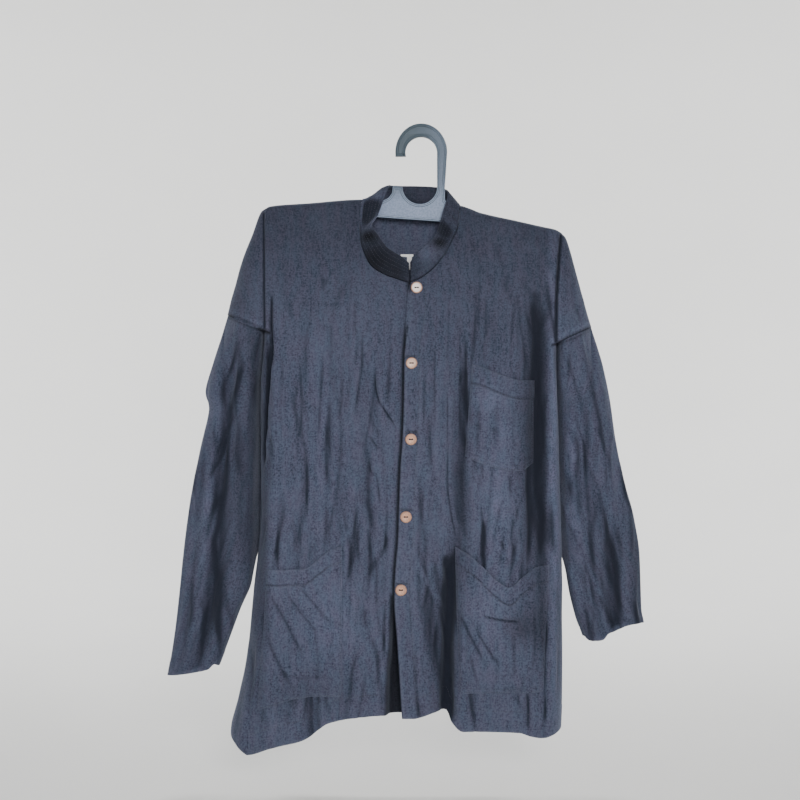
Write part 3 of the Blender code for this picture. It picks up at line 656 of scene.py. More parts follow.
def ray_to(carrier: BVHTree, x: float, z: float) -> tuple | None:
    """Find the first cloth met by a level ray from the front.

    Args:
        carrier: Facets to hit.
        x: Place across, in millimetres.
        z: Height, in millimetres.

    Returns:
        Place and outward direction in millimetres, or None where nothing is hit.
    """
    way = Vector((0.0, 1.0, 0.0))
    place, normal, _, _ = carrier.ray_cast(Vector((x * MM, RAY_START, z * MM)), way)
    if place is None:
        return None
    if normal.dot(way) > 0:
        normal = -normal
    return np.array(place) / MM, np.array(normal)


def laid_on(carrier: BVHTree, x: Grid, z: Grid, missed: float) -> Grid:
    """Depth at which a piece lies when it is laid on another from the front.

    Args:
        carrier: Facets of the other piece.
        x: Places across.
        z: Heights.
        missed: Depth taken where there is nothing to lie on.

    Returns:
        The Y of each place.
    """
    hits = [ray_to(carrier, float(a), float(b)) for a, b in zip(x.ravel(), z.ravel())]
    return np.array([hit[0][1] if hit else missed for hit in hits]).reshape(x.shape)


@dataclass
class Thread:
    """Stitches of one sewing thread, each a short rounded bar sunk at its two ends."""

    radius: float = 0.26
    sides: int = 6
    pitch: float = 3.0
    length: float = 2.2
    lead_in: float = 0.6
    bars: list = field(default_factory=list)

    def starts(self, run: Grid) -> Grid:
        """Where each stitch starts on a row, by the length run along it."""
        return np.arange(self.lead_in, run[-1] - self.length, self.pitch)

    def sew(self, carrier: BVHTree, path: list) -> None:
        """Sew a row of stitches on a piece.

        Args:
            carrier: Facets of the cloth.
            path: Points of the row as x and z in millimetres.
        """
        line = np.array(path, float)
        run = run_along(line)
        for start in self.starts(run):
            a, b = (ray_to(carrier, *(np.interp(s, run, line[:, k]) for k in range(2)))
                    for s in (start, start + self.length))
            if a and b and np.linalg.norm(a[0] - b[0]) < 2 * self.length:
                self.bars.append((a[0], b[0], a[1]))

    def sew_points(self, points: Grid, normals: Grid) -> None:
        """Sew a row of stitches along points that already lie on a piece.

        Args:
            points: Points of the row.
            normals: Outward direction at each of them.
        """
        run = run_along(points)
        for start in self.starts(run):
            a, b = (np.array([np.interp(s, run, points[:, k]) for k in range(3)])
                    for s in (start, start + self.length))
            way = np.array([np.interp(start, run, normals[:, k]) for k in range(3)])
            self.bars.append((a, b, way / np.linalg.norm(way)))

    def build(self, name: str, material: bpy.types.Material) -> bpy.types.Object:
        """Make all the stitches as one piece.

        Args:
            name: Name of the piece.
            material: Finish of the thread.

        Returns:
            The piece.
        """
        bars = np.array([[a, b, n] for a, b, n in self.bars])
        a, b, out = bars[:, 0], bars[:, 1], bars[:, 2]
        along = b - a
        across = np.cross(along, out)
        across /= np.maximum(np.linalg.norm(across, axis=1, keepdims=True), 1e-9)
        rings = []
        for share, lift in ((0.22, 0.12), (0.78, 0.12)):
            centre = a + along * share + out * lift
            for k in range(self.sides):
                angle = 2 * math.pi * k / self.sides
                rings.append(centre + self.radius * (across * math.cos(angle)
                                                     + out * math.sin(angle)))
        tips = [a - out * 0.15, b - out * 0.15]
        count = 2 * self.sides + 2
        points = np.stack(rings + tips, 1).reshape(-1, 3)
        one = []
        for k in range(self.sides):
            after = (k + 1) % self.sides
            one.append((k, after, self.sides + after))
            one.append((k, self.sides + after, self.sides + k))
            one.append((2 * self.sides, after, k))
            one.append((2 * self.sides + 1, self.sides + k, self.sides + after))
        faces = (np.array(one)[None] + (np.arange(len(bars)) * count)[:, None, None])
        return make_piece(name, points, faces.reshape(-1, 3), material)


class Nodes:
    """Small helper that adds and joins shader nodes in one tree."""

    def __init__(self, tree: bpy.types.NodeTree) -> None:
        """Keep the tree."""
        self.tree = tree

    def feed(self, node: bpy.types.Node, inputs: dict) -> None:
        """Set a node's inputs.

        Args:
            node: The node.
            inputs: A value or an output socket for each input.
        """
        for key, value in inputs.items():
            if isinstance(value, bpy.types.NodeSocket):
                self.tree.links.new(value, node.inputs[key])
            else:
                node.inputs[key].default_value = value

    def add(self, kind: str, inputs: dict | None = None, **settings: object) -> bpy.types.Node:
        """Add a node.

        Args:
            kind: Blender's name of the node's type.
            inputs: Values or output sockets for its inputs.
            **settings: Properties of the node.

        Returns:
            The node.
        """
        node = self.tree.nodes.new(kind)
        for key, value in settings.items():
            setattr(node, key, value)
        self.feed(node, inputs or {})
        return node

    def maths(self, operation: str, a: object, b: object = 0.0) -> bpy.types.NodeSocket:
        """Work out one number from two."""
        return self.add("ShaderNodeMath", {0: a, 1: b}, operation=operation).outputs[0]

    def weigh(self, a: object, part_a: float, b: object,
              part_b: float = 1.0) -> bpy.types.NodeSocket:
        """Add up two numbers, each times its own weight."""
        return self.maths("ADD", self.maths("MULTIPLY", a, part_a),
                          self.maths("MULTIPLY", b, part_b))

    def mask(self, name: str) -> bpy.types.NodeSocket:
        """Read one of the numbers stored for each point."""
        return self.add("ShaderNodeAttribute", attribute_name=name).outputs["Fac"]

    def noise(self, vector: object, scale: float, detail: float = 2.0,
              rough: float = 0.5) -> bpy.types.NodeSocket:
        """A soft noise between 0 and 1."""
        inputs = {"Vector": vector, "Scale": scale, "Detail": detail, "Roughness": rough}
        return self.add("ShaderNodeTexNoise", inputs).outputs["Fac"]

    def spread(self, value: object, low: float, high: float) -> bpy.types.NodeSocket:
        """Stretch a number so that low becomes 0 and high becomes 1, softly."""
        inputs = {"Value": value, "From Min": low, "From Max": high}
        node = self.add("ShaderNodeMapRange", inputs, interpolation_type="SMOOTHSTEP")
        return node.outputs["Result"]

    def blend(self, share: object, a: object, b: object) -> bpy.types.NodeSocket:
        """Blend two colours."""
        return self.add("ShaderNodeMix", {0: share, 6: a, 7: b}, data_type="RGBA").outputs[2]


def new_group(name: str, inputs: dict, outputs: dict) -> tuple:
    """Start a shader node group with named sockets.

    Args:
        name: Name of the group.
        inputs: Socket type and default of each input.
        outputs: Socket type of each output.

    Returns:
        The group, its Nodes helper, its input node and its output node.
    """
    group = bpy.data.node_groups.new(name, "ShaderNodeTree")
    for key, (kind, value) in inputs.items():
        socket = group.interface.new_socket(name=key, in_out="INPUT", socket_type=kind)
        if value is not None:
            socket.default_value = value
    for key, kind in outputs.items():
        group.interface.new_socket(name=key, in_out="OUTPUT", socket_type=kind)
    nodes = Nodes(group)
    return group, nodes, nodes.add("NodeGroupInput"), nodes.add("NodeGroupOutput")


@dataclass(frozen=True)
class Effects:
    """The effects that several finishes share, each built once as a node group."""

    weave: bpy.types.NodeTree
    fade: bpy.types.NodeTree
    wear_light_shade: bpy.types.NodeTree

    @staticmethod
    def build_weave() -> bpy.types.NodeTree:
        """Build the plain weave: warp over weft, with slubs along the warp.

        Returns:
            The group, which puts out a height and masks for slubs, streaks and hue.
        """
        inputs = {"Cut": ("NodeSocketVector", None), "Threads": ("NodeSocketFloat", 1800.0)}
        outputs = {"Height": "NodeSocketFloat", "Slub": "NodeSocketFloat",
                   "Streak": "NodeSocketFloat", "Hue": "NodeSocketFloat"}
        group, nodes, start, end = new_group("plain_weave", inputs, outputs)
        cut = start.outputs["Cut"]
        scaled = nodes.add("ShaderNodeVectorMath", {0: cut, "Scale": start.outputs["Threads"]},
                           operation="SCALE").outputs[0]
        parts = nodes.add("ShaderNodeSeparateXYZ", {0: scaled}).outputs
        warp, weft = (nodes.maths("ABSOLUTE", nodes.maths(
            "SINE", nodes.maths("MULTIPLY", parts[k], math.pi))) for k in range(2))
        over = nodes.add("ShaderNodeTexChecker", {
            "Vector": scaled, "Scale": 1.0, "Color1": (1, 1, 1, 1),
            "Color2": (0, 0, 0, 1)}).outputs["Fac"]
        height = nodes.add("ShaderNodeMix", {0: over, 2: warp, 3: weft}, data_type="FLOAT")

        def streaks(scale: tuple, rough: float, shift: tuple = (0.0, 0.0, 0.0)) -> object:
            """Noise drawn out along one way of the cut."""
            along = nodes.add("ShaderNodeMapping", {
                "Vector": cut, "Scale": scale, "Location": shift})
            return nodes.noise(along.outputs[0], 1.0, 3.0, rough)

        slub = nodes.weigh(streaks((880.0, 90.0, 1.0), 0.7), 0.6,
                           streaks((95.0, 820.0, 1.0), 0.7), 0.4)
        nodes.feed(end, {
            "Height": nodes.weigh(slub, 3.0, height.outputs[0]),
            "Slub": nodes.spread(slub, 0.39, 0.61),
            "Streak": nodes.spread(streaks((170.0, 16.0, 1.0), 0.6), 0.3, 0.7),
            "Hue": nodes.spread(streaks((95.0, 30.0, 1.0), 0.6, (3.0, 7.0, 0.0)), 0.3, 0.7)})
        return group

    @staticmethod
    def build_fade() -> bpy.types.NodeTree:
        """Build the uneven colour of a dyed or moulded surface.

        Returns:
            The group, which blends two colours by soft patches of two sizes.
        """
        inputs = {"Place": ("NodeSocketVector", None), "Dark": ("NodeSocketColor", None),
                  "Light": ("NodeSocketColor", None), "Patch": ("NodeSocketFloat", 14.0),
                  "Grain": ("NodeSocketFloat", 420.0)}
        outputs = {"Colour": "NodeSocketColor", "Patches": "NodeSocketFloat"}
        group, nodes, start, end = new_group("uneven_colour", inputs, outputs)
        place = start.outputs["Place"]
        patches = nodes.spread(nodes.noise(place, start.outputs["Patch"], 3.0, 0.55), 0.3, 0.7)
        grain = nodes.spread(nodes.noise(place, start.outputs["Grain"], 2.0, 0.6), 0.34, 0.66)
        colour = nodes.blend(nodes.weigh(patches, 0.25, grain, 0.75), start.outputs["Dark"],
                             start.outputs["Light"])
        nodes.feed(end, {"Colour": colour, "Patches": patches})
        return group

    @staticmethod
    def build_wear_light_shade() -> bpy.types.NodeTree:
        """Build the rubbed look of edges and crests, which the finishes also use to paint light on
        crests and rims and to paint shade round the buttons' rims.

        Returns:
            The group, which turns an edge mask into a broken one.
        """
        inputs = {"Place": ("NodeSocketVector", None), "Edge": ("NodeSocketFloat", 0.0),
                  "Amount": ("NodeSocketFloat", 0.6)}
        outputs = {"RubbedLightShade": "NodeSocketFloat"}
        group, nodes, start, end = new_group("rubbed_light_shade_edge", inputs, outputs)
        broken = nodes.spread(nodes.noise(start.outputs["Place"], 320.0, 3.0, 0.6), 0.3, 0.65)
        share = nodes.maths("MULTIPLY", start.outputs["Edge"], start.outputs["Amount"])
        rubbed_light_shade = nodes.maths("MULTIPLY", share, nodes.weigh(broken, 0.7, 0.3))
        nodes.feed(end, {"RubbedLightShade": rubbed_light_shade})
        return group

    @classmethod
    def build(cls) -> "Effects":
        """Build the three groups once."""
        return cls(cls.build_weave(), cls.build_fade(), cls.build_wear_light_shade())


def new_material(name: str) -> tuple:
    """Start a material.

    Args:
        name: Name of the finish.

    Returns:
        The material, its Nodes helper and its Principled shader.
    """
    material = bpy.data.materials.new(name)
    material.use_nodes = True
    shader = material.node_tree.nodes["Principled BSDF"]
    return material, Nodes(material.node_tree), shader


@dataclass(frozen=True)
class ClothFinish:
    """Indigo-black plain-weave cotton, washed a little paler on its edges and crests, with painted
    shade in its troughs; the paler crests are partly painted light.
    """

    name: str
    dark: tuple
    light: tuple
    rubbed_light_shade: tuple
    # Colour of the painted shade deep in the troughs
    crease: tuple
    rough: float = 0.86
    sheen: float = 0.12
    weave_depth: float = 0.22

    def build(self, effects: Effects) -> bpy.types.Material:
        """Make the material.

        Args:
            effects: The shared node groups.

        Returns:
            The finish.
        """
        material, nodes, shader = new_material(self.name)
        cut = nodes.add("ShaderNodeUVMap", uv_map="cut").outputs[0]
        place = nodes.add("ShaderNodeTexCoord").outputs["Object"]
        crest_light_and_shade = nodes.mask("crest_light_and_shade")
        weave = nodes.add("ShaderNodeGroup", {"Cut": cut}, node_tree=effects.weave).outputs
        fade = nodes.add("ShaderNodeGroup", {
            "Place": place, "Dark": (*self.dark, 1.0), "Light": (*self.light, 1.0)},
            node_tree=effects.fade).outputs
        # Crests rubbed paler, partly as painted light
        rub = nodes.weigh(nodes.spread(crest_light_and_shade, 0.5, 1.0), 0.25, nodes.mask("edge"))
        wear_light_shade = nodes.add("ShaderNodeGroup", {"Place": place, "Edge": rub},
                         node_tree=effects.wear_light_shade).outputs
        share = nodes.weigh(weave["Slub"], 0.55, weave["Streak"], 0.32)
        slubbed = nodes.blend(share, fade["Colour"], (*self.light, 1.0))
        hue = nodes.blend(weave["Hue"], (1.07, 0.98, 0.99, 1.0), (0.93, 1.02, 1.01, 1.0))
        hued = nodes.add("ShaderNodeVectorMath", {0: slubbed, 1: hue}, operation="MULTIPLY")
        rubbed_and_lit = nodes.blend(wear_light_shade["RubbedLightShade"], hued.outputs[0], (*self.rubbed_light_shade, 1.0))
        # Painted light and shade from the tone mask scales the colour
        tone_and_shade = nodes.maths("MULTIPLY", nodes.mask("tone_and_shade"), 2.0)
        toned = nodes.add("ShaderNodeVectorMath", {0: rubbed_and_lit, "Scale": tone_and_shade}, operation="SCALE")
        # Painted shade: troughs and deep folds blended towards the crease colour
        deep = nodes.maths("MULTIPLY", nodes.spread(crest_light_and_shade, 0.52, 0.0), 0.9)
        nap = nodes.noise(place, 900.0, 3.0, 0.65)
        bump = nodes.add("ShaderNodeBump", {
            "Strength": self.weave_depth, "Distance": 0.0002,
            "Height": nodes.weigh(nap, 0.9, weave["Height"])})
        nodes.feed(shader, {
            "Base Color": nodes.blend(deep, toned.outputs[0], (*self.crease, 1.0)),
            "Roughness": nodes.weigh(fade["Patches"], -0.06, self.rough),
            "Normal": bump.outputs[0], "Specular IOR Level": 0.1,
            "Sheen Weight": self.sheen, "Sheen Roughness": 0.55,
            "Sheen Tint": (0.62, 0.70, 0.90, 1.0)})
        return material


@dataclass(frozen=True)
class SolidFinish:
    """A moulded or turned finish: uneven colour, rubbed edges and masks that also paint light and
    shade, and a fine surface grain.
    """

    name: str
    dark: tuple
    light: tuple
    rubbed_light_shade: tuple
    rough: float
    grain: float
    coat: float = 0.0
    second: tuple = ()
    patch: float = 14.0
    gloss: float = 0.25

    def build(self, effects: Effects) -> bpy.types.Material:
        """Make the material.

        Args:
            effects: The shared node groups.

        Returns:
            The finish.
        """
        material, nodes, shader = new_material(self.name)
        place = nodes.add("ShaderNodeTexCoord").outputs["Object"]
        fade = nodes.add("ShaderNodeGroup", {
            "Place": place, "Dark": (*self.dark, 1.0), "Light": (*self.light, 1.0),
            "Patch": self.patch}, node_tree=effects.fade).outputs
        wear_light_shade = nodes.add("ShaderNodeGroup", {"Place": place, "Edge": nodes.mask("edge")},
                         node_tree=effects.wear_light_shade).outputs
        colour = nodes.blend(wear_light_shade["RubbedLightShade"], fade["Colour"], (*self.rubbed_light_shade, 1.0))
        # Second colour by the tone mask: a darker hook and painted shade on the hanger, a paler
        # face on the first button
        if self.second:
            colour = nodes.blend(nodes.mask("tone"), colour, (*self.second, 1.0))
        bump = nodes.add("ShaderNodeBump", {
            "Strength": self.grain, "Distance": 0.0001,
            "Height": nodes.noise(place, 1400.0, 3.0, 0.6)})
        nodes.feed(shader, {
            "Base Color": colour, "Roughness": nodes.weigh(fade["Patches"], 0.1, self.rough),
            "Normal": bump.outputs[0], "Specular IOR Level": self.gloss,
            "Coat Weight": self.coat, "Coat Roughness": 0.2})
        return material


CLOTH = ClothFinish("indigo_cotton", (0.0085, 0.0115, 0.024), (0.063, 0.071, 0.111),
                    (0.110, 0.122, 0.170), (0.005, 0.0065, 0.012))
# Doubled collar cloth, darker than the body's, partly as painted shade
COLLAR_CLOTH = ClothFinish("indigo_cotton_doubled_and_shaded", (0.0085, 0.0115, 0.024),
                           (0.056, 0.063, 0.098), (0.095, 0.105, 0.145),
                           (0.004, 0.005, 0.009))
THREAD = SolidFinish("indigo_thread", (0.014, 0.017, 0.027), (0.045, 0.051, 0.072),
                     (0.09, 0.10, 0.13), 0.7, 0.3)
DARK_THREAD = SolidFinish("dark_thread", (0.015, 0.011, 0.011), (0.035, 0.027, 0.027),
                          (0.06, 0.05, 0.05), 0.7, 0.3)
# The dark brown third colour paints shade round each button's rim
BUTTON = SolidFinish("turned_tan_button", (0.37, 0.20, 0.13), (0.50, 0.295, 0.21),
                     (0.085, 0.045, 0.03), 0.36, 0.15, 0.2, (0.66, 0.60, 0.58), 90.0)
# The pale third colour paints highlights on the rim, the dark second colour paints shade in its
# grooves and darkens the hook
PLASTIC = SolidFinish("blue_grey_moulding", (0.13, 0.168, 0.25), (0.18, 0.225, 0.325),
                      (0.33, 0.39, 0.48), 0.45, 0.2, 0.03, (0.05, 0.07, 0.088), 30.0, 0.12)
TAPE = SolidFinish("bare_white_tape", (0.66, 0.66, 0.67), (0.80, 0.80, 0.80),
                   (0.85, 0.85, 0.85), 0.8, 0.5)


def declare_sheet(piece: bpy.types.Object, node: str) -> None:
    """Attach a sheet of cloth to the shirt and hide the solid that it stands for.

    Args:
        piece: The sheet.
        node: The solid that it replaces.
    """
    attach(piece, "root")
    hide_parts(node)


def add_trim(piece: bpy.types.Object, slot: str, *nodes: str) -> bpy.types.Object:
    """Let a trim ride on the shirt, and stand for the solids named.

    Args:
        piece: The trim.
        slot: Not used.
        *nodes: Solids that it replaces.

    Returns:
        The trim.
    """
    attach(piece, "root")
    if nodes:
        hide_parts(*nodes)
    return piece


@dataclass
class Panel:
    """One front or the back: a sheet lofted from its neck and shoulder edge to the hem."""

    name: str
    front: bool
    tops: Grid
    hem: Grid
    caps: tuple
    creases: list
    flat: tuple
    tone: ToneAndShade
    columns: int = 110
    upper_rows: int = 72
    lower_rows: int = 150
    side_columns: int = 34
    wall: float = 1.7
    hem_band: float = 27.0
    cap_corner_drop: float = 5.4
    cap_round_share: float = 0.9
    underarm_gap: float = 0.8
    hem_level: float = -780.0
    side_hem_level: float = -790.0
    # Painted shade along the armhole seam, and a band of painted light just above it
    seam_shade: float = 0.95
    seam_painted_light: float = 0.25
    seam_width: float = 3.0
    seam_reach: float = 1.5
    far_off: float = 99.0
    # Folds deeper than deep_fold get painted shade, their depth divided by these, for the back and
    # for the fronts
    deep_fold: float = 8.0
    fold_shade_depths: tuple = (55.0, 30.0)

    def edge(self, z: Grid, side: Side) -> Grid:
        """Side edge of the flat part of the panel."""
        return DRAPE.turn(z, side)

    def dress(self, x: Grid, z: Grid, y: Grid) -> Grid:
        """Change the cloth's place where the panel has a form of its own."""
        return y

    def relief(self, x: Grid, z: Grid) -> Grid:
        """Outward height of the creases, and their painted light and shade."""
        return sum_creases(self.creases, x, z)

    def tone_light_and_shade(self, x: Grid, z: Grid) -> Grid:
        """Colour strength with painted shade along the armhole seam and a band of painted light
        just above it.
        """
        seam = self.above_armhole(x, z)
        line = self.seam_shade * bell(seam / self.seam_width) * (seam > -0.6)
        painted_halo = self.seam_painted_light * bell((seam - 6.5) / 3.5)
        return self.tone.values(x, z) * (1.0 - line + painted_halo)

    def level(self, x: Grid) -> Grid:
        """Height of the line between the upper and the lower rows."""
        (ax, az), (bx, bz) = ARMHOLE[Side.LEFT][0], ARMHOLE[Side.RIGHT][0]
        return mix(az, bz, np.clip((x - ax) / (bx - ax), 0.0, 1.0))

    def hem_z(self, x: Grid) -> Grid:
        """Height of the hem's edge."""
        return column(self.hem, 0, 1, x)

    def across(self, share: Grid, z: Grid) -> Grid:
        """Place across the flat part, by a share of its width."""
        return mix(self.edge(z, Side.LEFT), self.edge(z, Side.RIGHT), share)

    def main_grid(self) -> Grid:
        """Lay out the flat part, from the top edge down to the hem.

        Returns:
            Columns by rows by three.
        """
        share = np.linspace(0.0, 1.0, self.columns)[:, None]
        top_x, top_z = through_rows(self.tops, share * (len(self.tops) - 1))
        level = self.level(self.across(share, np.full_like(share, DRAPE.armhole_level)))
        low_x = self.across(share, level)
        v = np.linspace(0.0, 1.0, self.upper_rows)[None] ** 1.5
        away = np.abs(low_x - NECK_CENTRE) > np.abs(top_x - NECK_CENTRE)
        fan = np.where(away, 1.0 - (1.0 - v) ** 4, v ** 1.3)
        upper_x, upper_z = mix(top_x, low_x, fan), mix(top_z, level, v)
        w = np.linspace(0.0, 1.0, self.lower_rows + 1)[None, 1:]
        foot = self.hem_z(self.across(share, np.full_like(share, self.hem_level)))
        lower_z = mix(level, foot, w)
        lower_x = self.across(np.broadcast_to(share, lower_z.shape), lower_z)
        x = np.concatenate([upper_x, lower_x], 1)
        z = np.concatenate([upper_z, lower_z], 1)
        y = self.dress(x, z, DRAPE.cloth_y(x, z, self.front))
        return self.close_shoulder(np.stack([x, y, z], -1))

    def close_shoulder(self, grid: Grid) -> Grid:
        """Bring the top edge to the shoulder seam everywhere beyond the neck."""
        beyond = (grid[:, 0, 0] < NECK_LEFT[-1, 0] - 1) | (grid[:, 0, 0] > NECK_RIGHT[0, 0] + 1)
        grid[beyond, 0, 1] = -DRAPE.seam_half if self.front else DRAPE.seam_half
        return grid

    def side_shares(self) -> Grid:
        """Shares from the flat part to the outline, closer together towards both ends."""
        run = np.arange(1, self.side_columns + 1)[:, None] / self.side_columns
        return (0.5 + 0.5 * np.cos(math.pi * run)) ** 1.3

    def cap_grid(self, side: Side, first: Grid) -> Grid:
        """Lay out the dropped shoulder above the sleeve.

        Args:
            side: Which shoulder.
            first: The flat part's last column, from the top to the armhole level.

        Returns:
            Columns by rows by three.
        """
        reach = 1.0 - self.side_shares()
        v = np.linspace(0.0, 1.0, len(first))[None] ** 1.5
        seam = ARMHOLE[side]
        start_x, start_z = first[None, :, 0], first[None, :, 2]
        top_z = start_z - self.cap_corner_drop * (1 - v) * reach
        z = mix(top_z, top_z + (seam[1][1] - seam[0][1]) * smooth(v), reach)
        out = column(CAP_SIDES, 0, side.column, z)
        x = mix(start_x, out, reach)
        radius = np.maximum(np.abs(out - start_x) * self.cap_round_share, 2.0)
        y = self.dress(x, z, DRAPE.cloth_y(x, z, self.front, np.abs(out - x), radius))
        return self.close_shoulder(np.stack([x, y, z], -1))

    def wrap_grid(self, side: Side, first: Grid) -> Grid:
        """Lay out the side below the armhole, turning round to the side seam.

        Args:
            side: Which side.
            first: The flat part's last column, from the armhole level to the hem.

        Returns:
            Columns by rows by three.
        """
        share = self.side_shares()
        seam = ARMHOLE[side]
        slope = (seam[1][1] - seam[0][1]) / (seam[1][0] - first[0, 0])
        foot = np.linspace(0.0, 1.0, len(first))[None]
        hem_z = self.hem_z(DRAPE.side(np.array([self.side_hem_level]), side))
        start = first[None, :, 2]
        z = start + (hem_z - first[-1, 2]) * (1 - share) * foot ** 3
        radius = DRAPE.side_radius(z)
        x = DRAPE.side(z, side) + radius * share * side.inward
        lift = slope * (x - first[0, 0]) - self.underarm_gap * smooth((0.5 - share) / 0.4)
        z = z + lift * smooth(1.0 - foot * 18)
        y = DRAPE.cloth_y(x, z, self.front, radius * share, radius)
        return np.stack([x, self.dress(x, z, y), z], -1)

    def cut_places(self, grid: Grid) -> Grid:
        """Places on the flat cloth: across by x with the turn's own length, down by z."""
        return np.stack([run_along(grid[:, :, :2]) + grid[:1, :, 0], grid[:, :, 2]], -1)

    def above_armhole(self, x: Grid, z: Grid) -> Grid:
        """Height above the armhole seam, and a long way off elsewhere."""
        best = np.full_like(x, self.far_off)
        for side in self.caps:
            (ax, az), (bx, bz) = ARMHOLE[side]
            beyond = (x - ax) * side.inward < self.seam_reach
            best = np.where(beyond, z - az - (bz - az) / (bx - ax) * (x - ax), best)
        return best

    def build(self, material: bpy.types.Material) -> bpy.types.Object:
        """Make the panel with its creases and hems.

        Args:
            material: Its finish.

        Returns:
            The piece.
        """
        cloth = ClothMesh()
        main = self.main_grid()
        numbers = cloth.add(main, self.cut_places(main))
        flip = not self.front
        cloth.skin(numbers, flip)
        parts = ((self.cap_grid, slice(None, self.upper_rows)),
                 (self.wrap_grid, slice(self.upper_rows - 1, None)))
        for side in self.caps:
            end = 0 if side is Side.LEFT else -1
            turned = flip if side is Side.RIGHT else not flip
            for lay, rows in parts:
                first = main[end, rows]
                grid = lay(side, first)
                added = cloth.add(grid, self.cut_places(np.concatenate([first[None], grid]))[1:])
                cloth.skin(np.concatenate([numbers[end, rows][None], added]), turned)
        points, cut, faces = cloth.arrays()
        x, z = points[:, 0], points[:, 2]
        relief, light = self.relief(x, z) * self.hold(x, z, points[:, 1])
        points = points + point_normals(points, faces) * relief[:, None]
        piece = make_piece(self.name, points, faces, material, cut)
        # Crest mask: painted light and shade of the creases, and painted shade in the deep folds
        folds = FRONT_FOLDS if self.front else BACK_FOLDS
        deep = [fold for fold in folds if fold[-1] > self.deep_fold]
        shade = DRAPE.folds(deep, x, z) / self.fold_shade_depths[self.front]
        add_mask(piece.data, "crest_light_and_shade", 0.5 + light - shade)
        add_mask(piece.data, "tone_and_shade", self.tone_light_and_shade(x, z))
        add_mask(piece.data, "edge", self.edge_mask(x, z))
        finish_cloth(piece, self.wall, self.doubled(x, z))
        return piece

    def hold(self, x: Grid, z: Grid, y: Grid) -> Grid:
        """How freely the cloth creases: not at all where front and back are sewn together.

        Args:
            x: Places across.
            z: Heights.
            y: The smooth cloth's place.

        Returns:
            Shares from 0 to 1.
        """
        seam = self.above_armhole(x, z)
        return smooth((np.abs(y) - 1.0) / 9.0) * (1.0 - bell(seam / self.seam_width))

    def doubled(self, x: Grid, z: Grid) -> Grid:
        """Where the cloth is folded double: the hem band."""
        above = z - self.hem_z(x)
        return smooth((self.hem_band - above) / 2.0 + 0.5)

    def edge_mask(self, x: Grid, z: Grid) -> Grid:
        """Where the cloth is rubbed pale: the hem's edge and its stitched line."""
        above = z - self.hem_z(x)
        return np.maximum(0.6 * bell(above / 2.2),
                          0.2 * bell((above - self.hem_band - 1.8) / 1.6))


@dataclass
class FrontRight(Panel):
    """The wearer's right front, which lies under the other one along the centre."""

    lap_width: float = 27.0
    lap_drop: float = 3.2
    fold_step: float = 15.0

    def edge(self, z: Grid, side: Side) -> Grid:
        """Side edge of the flat part: the turn, or the centre edge under the lap."""
        if side is Side.LEFT:
            return DRAPE.turn(z, side)
        return column(CENTRE_EDGE, 0, 1, z) + self.lap_width

    def dress(self, x: Grid, z: Grid, y: Grid) -> Grid:
        """Sink the cloth under the lap, and fold it back at the foot.

        Args:
            x: Places across.
            z: Heights.
            y: Place of the smooth cloth.

        Returns:
            The changed place.
        """
        lap = smooth((x - column(CENTRE_EDGE, 0, 1, z) + 20.0) / 15.0)
        past = smooth((x - column(UNDER_FOLD, 0, 1, z)) / 7.0)
        return y + self.lap_drop * lap + self.fold_step * past * smooth((-600.0 - z) / 60.0)

    def tone_light_and_shade(self, x: Grid, z: Grid) -> Grid:
        """Painted shadow along the lap's edge and under the lap, and painted shade behind the
        fold.
        """
        lap = column(CENTRE_EDGE, 0, 1, z) - 1.0 - x
        fold = column(UNDER_FOLD, 0, 1, z) + 3.0 - x
        foot = smooth((-596.0 - z) / 12.0)
        line = np.maximum(bell(lap / 2.8) * (1.0 - foot), smooth(1.0 - fold / 5.0) * foot)
        return super().tone_light_and_shade(x, z) * (1.0 - 0.85 * np.maximum(line, 1.0 * (lap < 0)))

    def hold(self, x: Grid, z: Grid, y: Grid) -> Grid:
        """Keep the cloth smooth under the lap, so that it stays clear of the other front."""
        free = smooth((column(CENTRE_EDGE, 0, 1, z) - 4.0 - x) / 12.0)
        return super().hold(x, z, y) * free


@dataclass
class FrontLeft(Panel):
    """The wearer's left front: its doubled edge shows down the centre."""

    facing: float = 20.0

    def edge(self, z: Grid, side: Side) -> Grid:
        """Side edge of the flat part: the centre edge, or the turn."""
        return column(CENTRE_EDGE, 0, 1, z) if side is Side.LEFT else DRAPE.turn(z, side)

    def relief(self, x: Grid, z: Grid) -> Grid:
        """Creases, quieter on the doubled facing, with its stitched line pulled in and given
        painted shade.
        """
        inward = x - column(CENTRE_EDGE, 0, 1, z)
        pucker = 0.35 + 0.25 * np.sin(z * 0.71) * np.sin(z * 0.19 + 1.0)
        line = -pucker * bell((inward - self.facing) / 1.8)
        quiet = mix(0.3, 1.0, smooth((inward - 12.0) / 14.0))
        return super().relief(x, z) * quiet + np.stack([line, line * 0.2])

    def doubled(self, x: Grid, z: Grid) -> Grid:
        """Where the cloth is double: the hem band and the facing."""
        inward = x - column(CENTRE_EDGE, 0, 1, z)
        return np.maximum(super().doubled(x, z), smooth((self.facing - inward) / 2.0 + 0.5))

    def edge_mask(self, x: Grid, z: Grid) -> Grid:
        """Rubbed hem, and the facing's edge and stitched line."""
        inward = x - column(CENTRE_EDGE, 0, 1, z)
        lines = np.maximum(0.4 * bell((inward - 2.4) / 1.4),
                           0.25 * bell((inward - self.facing - 1.8) / 1.5))
        return np.maximum(super().edge_mask(x, z), lines)

    def tone_light_and_shade(self, x: Grid, z: Grid) -> Grid:
        """Painted shade on the very edge of the lap."""
        inward = x - column(CENTRE_EDGE, 0, 1, z)
        return super().tone_light_and_shade(x, z) * (1.0 - 0.8 * bell(inward / 1.1))


